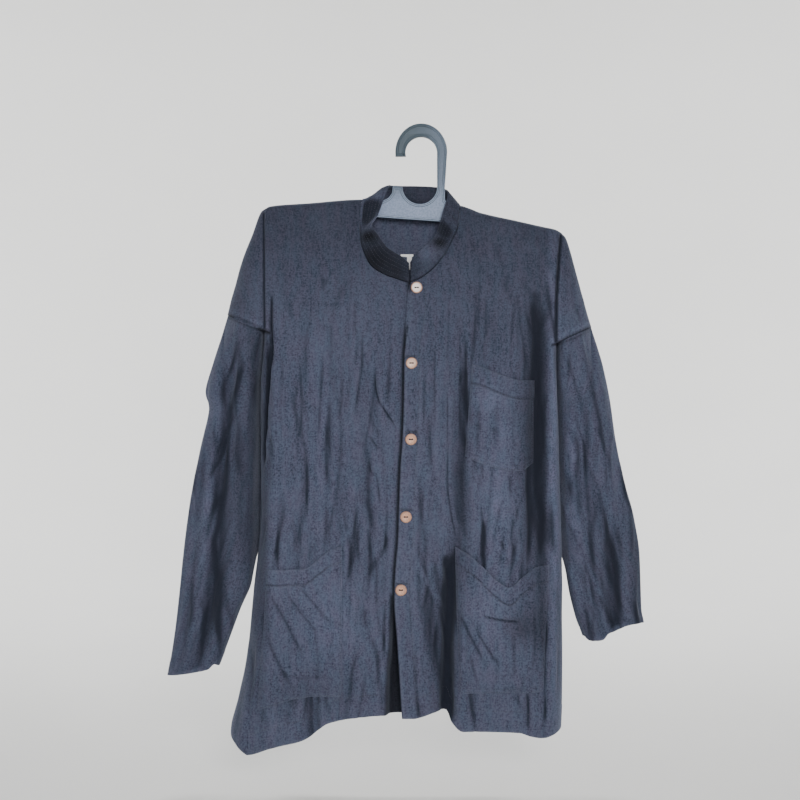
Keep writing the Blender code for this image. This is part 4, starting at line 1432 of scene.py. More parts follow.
@dataclass
class Sleeve:
    """One sleeve: a flattened tube from the armhole seam to its open cuff."""

    side: Side
    name: str
    creases: list
    back_creases: list
    tone: ToneAndShade
    rows: int = 150
    steps: int = 5
    wall: float = 1.6
    seam_gap: float = 0.5
    cap_blend: float = 0.2
    cuff_start: float = 0.86
    tuck_rows: int = 4
    tuck_up: float = 5.0
    length: float = 460.0
    cuff_band: float = 24.0
    seam_shade: float = 0.92
    fold_shade_depth: float = 30.0

    def ring(self) -> Grid:
        """Points round the tube, with its bends made smooth."""
        table = np.concatenate([SLEEVE_RING[-2:], SLEEVE_RING, SLEEVE_RING[:2]])
        at = np.arange(len(SLEEVE_RING) * self.steps) / self.steps + 2
        k = at.astype(int)
        t = (at - k)[:, None]
        a, b, c = table[k - 1], table[k], table[(k + 1) % len(table)]
        d = table[np.minimum(k + 2, len(table) - 1)]
        return 0.5 * (2 * b + (c - a) * t + (2 * a - 5 * b + 4 * c - d) * t ** 2
                      + (3 * b - a - 3 * c + d) * t ** 3)

    def folds(self, table: tuple, share: Grid, v: Grid) -> Grid:
        """Sum the sleeve's broad folds.

        Args:
            table: Rows of one fold each.
            share: Places across the sleeve.
            v: Places down the sleeve.

        Returns:
            Depths of the folds.
        """
        total = np.zeros(np.broadcast(share, v).shape)
        for share_top, v_top, share_low, v_low, half, depth in table:
            run = (v - v_top) / (v_low - v_top)
            fade = smooth(run / 0.25) * smooth((1.1 - run) / 0.2) * (run > 0) * (run < 1)
            total += depth * fade * bell((share - mix(share_top, share_low, run)) / half)
        return total

    def grid(self) -> Grid:
        """Lay out the tube.

        Returns:
            Points round by rows by three.
        """
        ring = self.ring()
        share, depth, inward, behind = (ring[:, k][:, None] for k in range(4))
        v = np.linspace(0.0, 1.0, self.rows)[None]
        sections = SLEEVE_SECTIONS[self.side]
        inner_x, inner_z, outer_x, outer_z, front_d, back_d = through_rows(
            sections, v * (len(sections) - 1))
        tuck = column(SLEEVE_TUCK[self.side], 0, 1, v)
        sign = self.side.inward
        touching = DRAPE.side(inner_z, self.side) - sign * 0.9
        inner_x = mix(touching, inner_x, smooth((v - 0.12) / 0.1))
        x = mix(inner_x, outer_x, share) + sign * inward * tuck ** 2
        z = mix(inner_z, outer_z, share)
        cuff = smooth((v - self.cuff_start) / (1 - self.cuff_start))
        z = z + column(SLEEVE_CUFF[self.side], 0, 1, share) * cuff
        front = depth < 0
        own = np.where(front, front_d - self.folds(SLEEVE_FOLDS[self.side], share, v),
                       back_d - self.folds(SLEEVE_BACK_FOLDS, share, v))
        y = own * depth + behind * tuck
        out = column(CAP_SIDES, 0, self.side.column, z)
        radius = np.abs(out - ARMHOLE[self.side][0][0]) * 0.9
        distance = np.abs(out - x)
        cap = np.where(front, DRAPE.cloth_y(x, z, True, distance, radius),
                       DRAPE.cloth_y(x, z, False, distance, radius))
        cap = cap * np.minimum(np.abs(depth) * 1.05, 1.0)
        y = mix(cap, y, smooth(v / self.cap_blend))
        z = z - self.seam_gap * np.maximum(1.0 - v / self.cap_blend, 0.0)
        grid = np.stack([x, y, z], -1)
        middle = grid[:, :1].mean(0, keepdims=True)
        tucked = []
        for k in range(self.tuck_rows, 0, -1):
            share = k / self.tuck_rows
            row = mix(grid[:, :1], middle, 0.10 * min(1.0, 2 * share))
            row[:, :, 2] = grid[:, :1, 2] + self.tuck_up * share
            tucked.append(row)
        return np.concatenate(tucked + [grid], 1)

    def build(self, material: bpy.types.Material) -> bpy.types.Object:
        """Make the sleeve with its creases.

        Args:
            material: Its finish.

        Returns:
            The piece.
        """
        grid = self.grid()
        cloth = ClothMesh()
        numbers = cloth.add(grid, np.stack([run_along(grid), grid[:, :, 2]], -1))
        cloth.skin(np.concatenate([numbers, numbers[:1]]), self.side is Side.RIGHT)
        points, cut, faces = cloth.arrays()
        x, y, z = points.T
        down = np.concatenate([np.zeros(self.tuck_rows), np.linspace(0.0, 1.0, self.rows)])
        v = np.tile(down, grid.shape[0])
        ring = self.ring()
        depth = np.repeat(ring[:, 1], grid.shape[1])
        relief, light = smooth(v / 0.02) * sum(
            smooth(face * 2.2) * sum_creases(creases, x, z)
            for creases, face in ((self.creases, -depth), (self.back_creases, depth)))
        points = points + point_normals(points, faces) * relief[:, None]
        piece = make_piece(self.name, points, faces, material, cut)
        share = np.repeat(ring[:, 0], grid.shape[1])
        folds = np.where(depth < 0, self.folds(SLEEVE_FOLDS[self.side], share, v),
                         self.folds(SLEEVE_BACK_FOLDS, share, v))
        # Crest mask: painted light and shade of the creases, and painted shade in the broad folds
        add_mask(piece.data, "crest_light_and_shade", 0.5 + light - folds / self.fold_shade_depth)
        run_down = v * self.length
        # Painted shade along the armhole seam at the top of the sleeve
        seam = 1.0 - self.seam_shade * bell(run_down / 3.2) * (v > 0)
        add_mask(piece.data, "tone_and_shade", self.tone.values(x, z) * seam)
        add_mask(piece.data, "edge", 0.5 * bell((self.length - run_down) / 3.0))
        cuff = self.length - self.cuff_band
        finish_cloth(piece, self.wall, smooth((run_down - cuff) / 2.0))
        return piece


@dataclass
class Collar:
    """The standing band, from its neck seam up to its top edge, end to end round the neck."""

    name: str = "collar_band_sewn"
    wall: float = 2.0
    seam_gap: float = 1.2
    across: int = 300
    up: int = 30
    rows_of_stitch: int = 5
    cut_height: float = 32.0
    buckles: tuple = (
        (0.30, 0.45, 0.055, 0.55, 7.5, -0.4), (0.36, 0.75, 0.03, 0.3, -3.5, 0.2),
        (0.205, 0.55, 0.035, 0.5, -3.0, 0.0), (0.80, 0.6, 0.030, 0.45, 6.5, 0.3),
        (0.765, 0.35, 0.02, 0.5, -3.0, 0.0), (0.12, 0.5, 0.03, 0.8, 2.0, 0.0),
        (0.88, 0.5, 0.03, 0.6, -2.5, 0.3))

    def grid(self) -> Grid:
        """Lay out the band between its two edges.

        Returns:
            Points along by points up by three.
        """
        around = np.concatenate([NECK_LEFT, NECK_BACK, NECK_RIGHT])
        count_left, count_back = len(NECK_LEFT), len(NECK_BACK)
        front = np.ones(len(around), bool)
        front[count_left:count_left + count_back] = False
        seam_y = np.where(front, DRAPE.cloth_y(around[:, 0], around[:, 1], True),
                          DRAPE.cloth_y(around[:, 0], around[:, 1], False))
        seam_y[count_left - 1] = 0.0
        seam_y[count_left + count_back] = 0.0
        seams = np.stack([around[:, 0], seam_y, around[:, 1]], 1)
        tops = around[:, 2:5]
        way = tops - seams
        seams = seams + way / np.linalg.norm(way, axis=1, keepdims=True) * self.seam_gap
        at = np.linspace(0, len(around) - 1, self.across)
        low, high = (np.stack(through_rows(edge, at), 1) for edge in (seams, tops))
        share = np.linspace(0.0, 1.0, self.up)[None, :, None]
        return mix(low[:, None], high[:, None], share)

    def build(self, material: bpy.types.Material, thread: Thread) -> bpy.types.Object:
        """Make the band with its buckles and stitched rows.

        Args:
            material: Its finish.
            thread: Where its stitches are added.

        Returns:
            The piece.
        """
        grid = self.grid()
        length = run_along(grid[:, self.up // 2])
        share = (length / length[-1])[:, None]
        up = np.linspace(0.0, 1.0, self.up)[None]
        cut = np.stack(np.broadcast_arrays(length[:, None], up * self.cut_height), -1)
        points, cut, faces = one_grid(grid, cut)
        normals = point_normals(points, faces)
        relief = np.zeros((self.across, self.up))
        for place, height, half, tall, depth, lean in self.buckles:
            shift = share - place - lean * 0.05 * (up - height)
            relief -= depth * bell(shift / half) * bell((up - height) / tall)
        rows = up * (self.rows_of_stitch + 1)
        relief += 0.35 * np.abs(np.sin(math.pi * rows)) - 0.2
        relief *= smooth(up / 0.08) * 0.999 + 0.001
        middle = grid.reshape(-1, 3) - np.array([-14.0, -5.0, -120.0])
        outward = np.sign(np.sum(normals * middle, axis=1, keepdims=True).mean())
        out = normals * outward
        points = points + out * relief.reshape(-1, 1)
        piece = make_piece(self.name, points, faces, material, cut)
        # Crest mask: painted light and shade by the band's relief
        add_mask(piece.data, "crest_light_and_shade", 0.5 + relief.ravel() / 8.0)
        # Painted shade along the neck seam, on top of the collar's painted light and shade
        seam = np.broadcast_to(1.0 - 0.25 * bell(up / 0.05), relief.shape).ravel()
        add_mask(piece.data, "tone_and_shade", COLLAR_TONE_AND_SHADE.values(points[:, 0], points[:, 2]) * seam)
        mask = np.broadcast_to(0.5 * bell((1 - up) / 0.05), relief.shape)
        add_mask(piece.data, "edge", mask.ravel())
        finish_cloth(piece, self.wall)
        shaped = points.reshape(self.across, self.up, 3)
        facing = out.reshape(self.across, self.up, 3)
        for k in range(1, self.rows_of_stitch + 1):
            row = min(int(round(k * (self.up - 1) / (self.rows_of_stitch + 1))), self.up - 1)
            lifted = shaped[:, row] + facing[:, row] * (self.wall / 2)
            thread.sew_points(lifted, facing[:, row])
        return piece


@dataclass
class Pocket:
    """A patch pocket sewn to a front along its sides and foot, and open at its mouth."""

    name: str
    left_top: float
    right_top: float
    left_low: float
    right_low: float
    mouth: tuple
    foot: tuple
    band: float
    sag: float
    creases: list
    flat: tuple
    steps: int = 64
    lift: float = 1.3
    wall: float = 1.5
    contrast: float = 1.5
    off_the_cloth: float = -40.0

    def outline(self, u: Grid, v: Grid) -> tuple:
        """Place of a point by its shares across and down.

        Args:
            u: Shares from the left to the right edge.
            v: Shares from the mouth to the foot.

        Returns:
            Places across and heights.
        """
        x = mix(mix(self.left_top, self.right_top, u), mix(self.left_low, self.right_low, u), v)
        top = curve_through(np.linspace(0, 1, len(self.mouth)), np.array(self.mouth), u)
        low = curve_through(np.linspace(0, 1, len(self.foot)), np.array(self.foot), u)
        return x, mix(top, low, v)

    def build(self, carrier: BVHTree, material: bpy.types.Material) -> bpy.types.Object:
        """Lay the pocket on its front.

        Args:
            carrier: Facets of the front.
            material: Its finish.

        Returns:
            The piece.
        """
        share = np.linspace(0.0, 1.0, self.steps)
        u, v = np.meshgrid(share, share, indexing="ij")
        x, z = self.outline(u, v)
        y = laid_on(carrier, x, z, self.off_the_cloth)
        inner = smooth(np.minimum(u, 1 - u) / 0.08) * smooth((1 - v) / 0.08)
        eased = y.copy()
        for _ in range(10):
            eased[1:-1, 1:-1] = (eased[:-2, 1:-1] + eased[2:, 1:-1] + eased[1:-1, :-2]
                                 + eased[1:-1, 2:]) / 4
        y = np.minimum(y, mix(y, eased, inner)) - self.lift
        y -= self.sag * np.sin(math.pi * u) * smooth(1.0 - v)
        relief, light = sum_creases(self.creases, x, z)
        down = self.outline(u, np.zeros_like(u))[1] - z
        y -= inner * np.maximum(relief + 1.6, 0.0)
        y -= 0.5 * bell((down - self.band) / 2.2) * smooth(u / 0.05)
        points, cut, faces = one_grid(np.stack([x, y, z], -1), np.stack([x, z], -1))
        piece = make_piece(self.name, points, faces, material, cut)
        # Crest mask: painted light and shade of the creases, and painted shade along the band's
        # stitched line
        line = bell((down - self.band) / 1.6)
        add_mask(piece.data, "crest_light_and_shade", (0.5 + self.contrast * light - 0.3 * line).ravel())
        add_mask(piece.data, "tone_and_shade", FRONT_TONE_AND_SHADE.values(points[:, 0], points[:, 2]))
        rim = np.minimum(np.minimum(u, 1 - u), 1 - v) * (self.right_top - self.left_top)
        lines = np.maximum(0.5 * bell(down / 1.8), 0.3 * bell((down - self.band - 2) / 1.6))
        add_mask(piece.data, "edge", np.maximum(lines, 0.35 * bell(rim / 1.8)).ravel())
        finish_cloth(piece, self.wall, smooth((self.band - down) / 2 + 0.5).ravel())
        return piece

    def row(self, kind: str, inset: float) -> list:
        """Path of a row of stitches.

        Args:
            kind: "left", "right", "foot" or "band".
            inset: How far in from the edge, in millimetres.

        Returns:
            Points as x and z.
        """
        t = np.linspace(0.02, 0.98, 40)
        wide, tall = self.right_top - self.left_top, self.mouth[0] - self.foot[0]
        u, v = {"left": (np.full_like(t, inset / wide), t),
                "right": (np.full_like(t, 1 - inset / wide), t),
                "foot": (t, np.full_like(t, 1 - inset / tall)),
                "band": (t, np.zeros_like(t))}[kind]
        x, z = self.outline(u, v)
        return list(zip(x, z - (inset if kind == "band" else 0.0)))


@dataclass
class Buttons:
    """Five turned two-hole buttons down the centre, each sewn on with thread."""

    places: tuple = ((-6.4, -204.4, 0.9), (-13, -302.6, 0.25), (-13.7, -401.8, 0.0),
                     (-20.2, -502.8, 0.0), (-26.7, -597.7, 0.0))
    thick: float = 2.8
    hole: float = 1.15
    pitch: float = 3.9
    gap: float = 0.3
    sides: int = 48
    # Distance from the middle and height of the turned face, from the back round to the dish
    profile: tuple = ((0.0, -1.4), (4.0, -1.4), (6.7, -1.15), (7.35, -0.5), (7.5, 0.2),
                      (7.3, 0.85), (6.8, 1.25), (6.2, 1.4), (5.6, 1.3), (5.1, 0.95),
                      (4.6, 0.6), (3.8, 0.42), (2.2, 0.36), (0.0, 0.36))

    def turned(self) -> tuple:
        """Turn the profile round the button's axis.

        Returns:
            Points and faces, the face of the button towards -Y.
        """
        points, faces, rings = [], [], []
        for r, height in self.profile:
            if r == 0.0:
                rings.append([len(points)])
                points.append((0.0, -height, 0.0))
                continue
            angles = np.arange(self.sides) * 2 * math.pi / self.sides
            rings.append(list(range(len(points), len(points) + self.sides)))
            points += [(r * math.cos(a), -height, r * math.sin(a)) for a in angles]
        for low, high in zip(rings, rings[1:]):
            for k in range(self.sides):
                after = (k + 1) % self.sides
                if len(low) == 1:
                    faces.append((low[0], high[k], high[after]))
                elif len(high) == 1:
                    faces.append((low[k], high[0], low[after]))
                else:
                    faces.append((low[k], high[k], high[after], low[after]))
        return np.array(points), faces

    def build(self, carrier: BVHTree, material: bpy.types.Material,
              thread: bpy.types.Material) -> list:
        """Make the buttons and their thread.

        Args:
            carrier: Facets of the upper front.
            material: Finish of the buttons.
            thread: Finish of the thread.

        Returns:
            The pieces.
        """
        pieces = []
        shape, faces = self.turned()
        for number, (x, z, tone) in enumerate(self.places, start=1):
            spots = [ray_to(carrier, x + dx, z + dz) for dx in (-5, 0, 5) for dz in (-5, 0, 5)]
            front = min(hit[0][1] for hit in spots if hit)
            centre = np.array([x, front - self.gap - self.thick / 2, z])
            piece = make_piece(f"button_{number}_turned", shape, faces, material)
            piece.location = centre * MM
            for side in (-1, 1):
                tool = self.hole_tool(number, side)
                tool.parent = piece
                cut = piece.modifiers.new("thread hole", "BOOLEAN")
                cut.operation, cut.solver, cut.object = "DIFFERENCE", "EXACT", tool
            self.bake(piece)
            places = points_of(piece)
            out = np.hypot(places[:, 0], places[:, 2])
            # Painted shade: a dark outline round the rim and a dark ring at the dish's edge
            add_mask(piece.data, "edge", np.maximum(smooth((out - 5.7) / 0.8),
                                                    0.5 * bell((out - 5.1) / 0.5)))
            add_mask(piece.data, "tone", tone * smooth((6.3 - out) / 0.8))
            add_trim(piece, "button", f"button_{number}")
            pieces += [piece, self.stitch(number, centre, thread)]
        return pieces

    def hole_tool(self, number: int, side: int) -> bpy.types.Object:
        """Make the round tool that cuts one thread hole."""
        angles = np.arange(20) * 2 * math.pi / 20
        ring = [(side * self.pitch / 2 + self.hole * math.cos(a), self.hole * math.sin(a))
                for a in angles]
        points = [(x, y, z) for y in (-5.0, 5.0) for x, z in ring]
        faces = [tuple(range(20)), tuple(range(39, 19, -1))]
        faces += [(k, 20 + k, 20 + (k + 1) % 20, (k + 1) % 20) for k in range(20)]
        mesh = bpy.data.meshes.new(f"thread_hole_{number}_{side}")
        mesh.from_pydata([tuple(v * MM for v in p) for p in points], [], faces)
        return put_in_scene(mesh.name, mesh)

    def bake(self, piece: bpy.types.Object) -> None:
        """Keep the cut shape as the piece's own mesh and remove the tools."""
        bpy.context.view_layer.update()
        graph = bpy.context.evaluated_depsgraph_get()
        shaped = bpy.data.meshes.new_from_object(piece.evaluated_get(graph))
        piece.modifiers.clear()
        piece.data = shaped
        for tool in list(piece.children):
            bpy.data.objects.remove(tool)
        shaped.shade_smooth()
        shaped.set_sharp_from_angle(angle=math.radians(50))

    def stitch(self, number: int, centre: Grid, material: bpy.types.Material) -> bpy.types.Object:
        """Make the thread bars between the two holes.

        Args:
            number: Number of the button.
            centre: Middle of the button.
            material: Finish of the thread.

        Returns:
            The piece.
        """
        rows, sides = 14, 8
        points, faces = [], []
        for strand in (-0.45, 0.0, 0.45):
            first = len(points)
            for row in range(rows):
                t = row / (rows - 1)
                x = mix(-self.pitch / 2, self.pitch / 2, t)
                rise = -0.36 - 0.42 * math.sin(math.pi * t) + 1.6 * abs(2 * t - 1) ** 8
                for k in range(sides):
                    angle = 2 * math.pi * k / sides
                    points.append((x + 0.26 * math.sin(angle) * (2 * t - 1),
                                   rise - 0.26 * math.sin(angle) * (1 - abs(2 * t - 1)),
                                   strand + 0.26 * math.cos(angle)))
            for row in range(rows - 1):
                for k in range(sides):
                    after = (k + 1) % sides
                    a, b = first + row * sides + k, first + row * sides + after
                    faces.append((a, b, b + sides, a + sides))
            faces.append(tuple(first + k for k in range(sides))[::-1])
            faces.append(tuple(first + (rows - 1) * sides + k for k in range(sides)))
        piece = make_piece(f"button_{number}_thread", np.array(points), faces, material)
        piece.location = centre * MM
        return add_trim(piece, "cloth_fine")


@dataclass
class Buttonholes:
    """Worked buttonholes on the facing: a dark slit between two corded edges."""

    places: tuple = ((-8.5, -200.5), (-13.5, -294.0), (-12.5, -392.5), (-19.5, -493.5),
                     (-25.5, -590.0))
    length: float = 17.0
    cord: float = 1.1

    def build(self, carrier: BVHTree, material: bpy.types.Material) -> bpy.types.Object:
        """Make the corded edges as close satin stitches.

        Args:
            carrier: Facets of the upper front.
            material: Finish of the thread.

        Returns:
            The piece.
        """
        thread = Thread(radius=0.3)
        for x, z in self.places:
            for side in (-1, 1):
                for k in range(int(self.length / 0.55)):
                    px = x - self.length / 2 + k * 0.55
                    ends = [ray_to(carrier, px, z + side * reach)
                            for reach in (0.35, 0.35 + self.cord)]
                    if ends[0] and ends[1]:
                        thread.bars.append((ends[0][0], ends[1][0], ends[0][1]))
        return add_trim(thread.build("buttonholes", material), "cloth_fine")


@dataclass
class NeckLabel:
    """A small bare tape sewn inside the back, below the neck seam."""

    box: tuple = (-27.0, -10.0, -175.0, -154.0)
    thick: float = 0.6
    bar: float = 2.6
    tab: float = 0.38
    tab_x: float = -15.2
    curl: float = 1.6
    clear: float = 0.2
    back_of_neck: float = 20.0

    def build(self, carrier: BVHTree, material: bpy.types.Material) -> bpy.types.Object:
        """Lay the tape on the inside of the back, folded to a narrow tab below its bar.

        Args:
            carrier: Facets of the back.
            material: Its finish.

        Returns:
            The piece.
        """
        left, right, low, high = self.box
        x, z = np.meshgrid(np.linspace(left, right, 24), np.linspace(high, low, 24),
                           indexing="ij")
        x = mix(x, self.tab_x + (x - (left + right) / 2) * self.tab,
                smooth((high - self.bar - z) / 0.8))
        curl = smooth((high - 3.0 - z) / (high - low)) * self.curl
        y = laid_on(carrier, x, z, self.back_of_neck) - self.thick / 2 - self.clear - curl
        points, cut, faces = one_grid(np.stack([x, y, z], -1), np.stack([x, z], -1))
        piece = make_piece("neck_label_tape", points, faces, material, cut)
        add_mask(piece.data, "edge", bell(np.minimum(points[:, 0] - left,
                                                     right - points[:, 0]) / 1.2))
        finish_cloth(piece, self.thick)
        return piece


@dataclass
class Hanger:
    """The moulded hanger: a thin web inside a raised rim, with the hook above."""

    # Outline as x and z, clockwise from the hook's open end, seen from the front
    hook_centre: tuple = (0.3, -21.0)
    hook_bore: float = 21.0
    hook_outer: tuple = (34.6, 38.5)
    hook_end_z: float = -26.1
    shaft_side: tuple = ((33, -50), (31.6, -70), (32, -84), (37, -93), (45, -95.5), (55, -98))
    left_arm: tuple = (70, 90, 115, 150, 170)
    left_tip: tuple = ((176.5, -131), (178, -136), (175, -140.5), (168, -141))
    lower_edge: tuple = ((100, -131), (25.3, -113.3), (-60, -107.3), (-130, -108.5),
                         (-188, -110))
    right_tip: tuple = ((-196, -107.5), (-198, -102.5), (-195, -97.5))
    right_arm: tuple = (-188, -150, -110, -86)
    plate_flank: tuple = ((-77, -87.5), (-64, -88), (-52, -85.8), (-43.5, -81.5),
                          (-39, -75.5), (-37.6, -66))
    notch: tuple = (-1.6, -66.7)
    notch_radius: float = 23.0
    thick: float = 7.0
    web: float = 4.2
    rim: float = 3.9
    arc_steps: int = 48

    def arc(self, centre: tuple, radii: tuple, start: float, end: float) -> list:
        """Points of an elliptical arc, in degrees."""
        angles = np.radians(np.linspace(start, end, self.arc_steps))
        return [(centre[0] + radii[0] * math.cos(a), centre[1] + radii[1] * math.sin(a))
                for a in angles]

    def arm(self, places: tuple) -> list:
        """Top edge of an arm, just below the shoulder of the shirt."""
        return [(x, float(DRAPE.shoulder(np.array([float(x)]))[0]) - 1.8) for x in places]

    def outline(self) -> Grid:
        """Points round the whole moulding.

        Returns:
            Rows of x and z.
        """
        drop, inner = (math.degrees(math.asin((self.hook_end_z - self.hook_centre[1]) / radius))
                       for radius in (self.hook_outer[1], self.hook_bore))
        bore = (self.hook_bore, self.hook_bore)
        line = self.arc(self.hook_centre, self.hook_outer, 180 - drop, 0)
        line += list(self.shaft_side) + self.arm(self.left_arm) + list(self.left_tip)
        line += list(self.lower_edge) + list(self.right_tip) + self.arm(self.right_arm)
        line += list(self.plate_flank)
        line += self.arc(self.notch, (self.notch_radius, self.notch_radius), 180, 360)
        line += self.arc(self.hook_centre, bore, 0, 180 - inner)
        return np.array(line, float)

    def inward(self, line: Grid) -> Grid:
        """Direction into the moulding at each point of the outline."""
        before = np.roll(line, 1, 0)
        after = np.roll(line, -1, 0)
        one = (line - before) / np.linalg.norm(line - before, axis=1, keepdims=True)
        two = (after - line) / np.linalg.norm(after - line, axis=1, keepdims=True)
        way = one + two
        way /= np.maximum(np.linalg.norm(way, axis=1, keepdims=True), 1e-6)
        inner = np.stack([way[:, 1], -way[:, 0]], 1)
        stretch = 1.0 / np.maximum(np.abs(np.sum(inner * np.stack([one[:, 1], -one[:, 0]], 1),
                                                 axis=1)), 0.6)
        return inner * stretch[:, None]

    def build(self, material: bpy.types.Material) -> list:
        """Make the rim and the web.

        Args:
            material: Its finish.

        Returns:
            The two pieces.
        """
        line = self.outline()
        keep = np.linalg.norm(line - np.roll(line, 1, 0), axis=1) > 0.05
        line = line[keep]
        inner = self.inward(line)
        half = self.thick / 2
        face = [(0.0, 0.8), (0.25, 0.25), (0.8, 0.0), (1.35, 0.0), (1.6, 0.55), (2.0, 0.55),
                (2.25, 0.0), (self.rim - 0.8, 0.0), (self.rim - 0.2, 0.4), (self.rim, 1.5)]
        section = [(depth, drop - half) for depth, drop in face]
        section += [(depth, half - drop) for depth, drop in reversed(face)]
        points, count = [], len(section)
        for depth, y in section:
            ring = line + inner * depth
            points.append(np.stack([ring[:, 0], np.full(len(ring), y), ring[:, 1]], 1))
        grid = np.stack(points, 1)
        numbers = np.arange(len(line) * count).reshape(len(line), count)
        numbers = np.concatenate([numbers, numbers[:1]])
        numbers = np.concatenate([numbers, numbers[:, :1]], 1)
        faces = np.stack([numbers[:-1, :-1], numbers[1:, :-1], numbers[1:, 1:],
                          numbers[:-1, 1:]], -1).reshape(-1, 4)
        rim = make_piece("hanger_rim", grid.reshape(-1, 3), faces, material)
        # Painted highlights on the rim's flat crests, painted shade in its grooves and on its
        # edges
        rubbed_and_lit = [0.0, 0.5, 0.9, 0.9, 0.0, 0.0, 0.9, 0.9, 0.3, 0.0]
        deep = [0.9, 0.5, 0.0, 0.0, 0.9, 0.9, 0.0, 0.0, 0.7, 1.0]
        add_mask(rim.data, "edge", np.tile(rubbed_and_lit + rubbed_and_lit[::-1], len(line)) * 0.7)
        self.shade(rim, np.tile(deep + deep[::-1], len(line)))
        rim.modifiers.new("even shading", "WEIGHTED_NORMAL")
        add_trim(rim, "plastic", "hanger")
        web = self.fill("hanger_web", line + inner * (self.rim - 0.4), self.web, material)
        return [rim, web]

    def fill(self, name: str, line: Grid, thick: float,
             material: bpy.types.Material) -> bpy.types.Object:
        """Fill an outline as a flat plate.

        Args:
            name: Name of the piece.
            line: Its outline.
            thick: Its thickness.
            material: Its finish.

        Returns:
            The piece.
        """
        data = bpy.data.curves.new(name, "CURVE")
        data.dimensions, data.fill_mode = "2D", "BOTH"
        data.extrude = thick / 2 * MM
        spline = data.splines.new("POLY")
        spline.points.add(len(line) - 1)
        for point, (x, z) in zip(spline.points, line):
            point.co = (x * MM, z * MM, 0.0, 1.0)
        spline.use_cyclic_u = True
        shape = put_in_scene(name, data)
        shape.rotation_euler = (math.pi / 2, 0.0, 0.0)
        bpy.context.view_layer.update()
        mesh = bpy.data.meshes.new_from_object(
            shape.evaluated_get(bpy.context.evaluated_depsgraph_get()))
        mesh.transform(shape.matrix_world)
        bpy.data.objects.remove(shape)
        mesh.materials.clear()
        mesh.materials.append(material)
        piece = put_in_scene(name, mesh)
        self.shade(piece, 0.0)
        return add_trim(piece, "plastic", "hanger")

    def shade(self, piece: bpy.types.Object, deep: Grid | float) -> None:
        """Make the hook and its shaft darker than the plate, darkest on its left as painted shade,
        and paint the grooves darkest as painted shade.
        """
        x, _, z = points_of(piece).T
        hook_dark_and_shade = smooth((z + 92.0) / 44.0) * mix(1.0, 0.7, smooth(x / 24.0))
        add_mask(piece.data, "tone", np.maximum(hook_dark_and_shade, deep))


@dataclass
class Studio:
    """Pale floor, soft lights from the front, and the camera of the picture."""

    floor_z: float = -0.875
    flat_radius: float = 1.5
    cove_radius: float = 1.8
    cove_height: float = 5.0
    camera: tuple = (-0.028, -1.6, -0.35067)
    lens: float = 54.0
    ambient: float = 0.3
    backdrop: tuple = (0.80, 0.80, 0.80, 1.0)

    def build(self) -> None:
        """Set up the floor, the world, the lights and the camera."""
        self.floor()
        self.world()
        self.light("key", (0.3, -2.5, 0.15), (0.0, 0.0, -0.45), 0.7, 62.0, (1.0, 0.98, 0.96))
        self.light("fill", (-1.6, -2.1, -0.3), (0.0, 0.0, -0.5), 1.1, 14.0, (0.96, 0.98, 1.0))
        for side in (-1, 1):
            self.light("backdrop", (1.5 * side, 0.9, 0.9), (-0.5 * side, 3.3, -0.5), 0.8, 55.0,
                       (1.0, 1.0, 1.0))
        data = bpy.data.cameras.new("camera")
        data.lens, data.sensor_width = self.lens, 36.0
        camera = put_in_scene("camera", data)
        camera.location = self.camera
        camera.rotation_euler = (math.pi / 2, 0.0, 0.0)
        bpy.context.scene.camera = camera

    def floor(self) -> None:
        """Lay the plain pale floor, which turns up in a wide cove far round the shirt."""
        sides = 96
        rise = np.radians(np.linspace(0.0, 90.0, 20))
        radii = [self.flat_radius * 0.5, self.flat_radius]
        heights = [0.0, 0.0]
        radii += list(self.flat_radius + self.cove_radius * np.sin(rise[1:]))
        heights += list(self.cove_radius * (1 - np.cos(rise[1:])))
        radii.append(radii[-1])
        heights.append(self.cove_height)
        angles = np.arange(sides) * 2 * math.pi / sides
        points = [(0.0, 0.0, self.floor_z)]
        for r, h in zip(radii, heights):
            points += [(r * math.cos(a), r * math.sin(a), self.floor_z + h) for a in angles]
        faces = [(0, 1 + k, 1 + (k + 1) % sides) for k in range(sides)]
        for ring in range(len(radii) - 1):
            first = 1 + ring * sides
            for k in range(sides):
                after = (k + 1) % sides
                faces.append((first + k, first + sides + k, first + sides + after,
                              first + after))
        material, nodes, shader = new_material("pale_floor")
        place = nodes.add("ShaderNodeTexCoord").outputs["Object"]
        colour = nodes.blend(nodes.noise(place, 3.0, 2.0), (0.72, 0.72, 0.71, 1.0),
                             (0.76, 0.76, 0.75, 1.0))
        nodes.feed(shader, {"Base Color": colour, "Roughness": 0.9})
        piece = make_piece("floor", np.array(points) / MM, faces, material)

    def world(self) -> None:
        """Fill the surroundings with even pale light."""
        world = bpy.data.worlds.new("studio")
        world.use_nodes = True
        nodes = Nodes(world.node_tree)
        world.node_tree.nodes.clear()
        seen = nodes.add("ShaderNodeBackground", {"Color": self.backdrop, "Strength": 1.0})
        soft = nodes.add("ShaderNodeBackground", {"Color": (0.90, 0.94, 1.0, 1.0),
                                                  "Strength": self.ambient})
        path = nodes.add("ShaderNodeLightPath")
        both = nodes.add("ShaderNodeMixShader", {
            0: path.outputs["Is Camera Ray"], 1: soft.outputs[0], 2: seen.outputs[0]})
        nodes.add("ShaderNodeOutputWorld", {0: both.outputs[0]})
        bpy.context.scene.world = world

    def light(self, name: str, place: tuple, target: tuple, size: float, power: float,
              colour: tuple) -> None:
        """Add one soft square light.

        Args:
            name: Name of the light.
            place: Where it stands.
            target: What it points at.
            size: Its width in metres.
            power: Its power in watts.
            colour: Its colour.
        """
        data = bpy.data.lights.new(name, "AREA")
        data.size, data.energy, data.color = size, power, colour
        lamp = put_in_scene(name, data)
        lamp.location = place
        way = Vector(target) - Vector(place)
        lamp.rotation_euler = way.to_track_quat("-Z", "Y").to_euler()
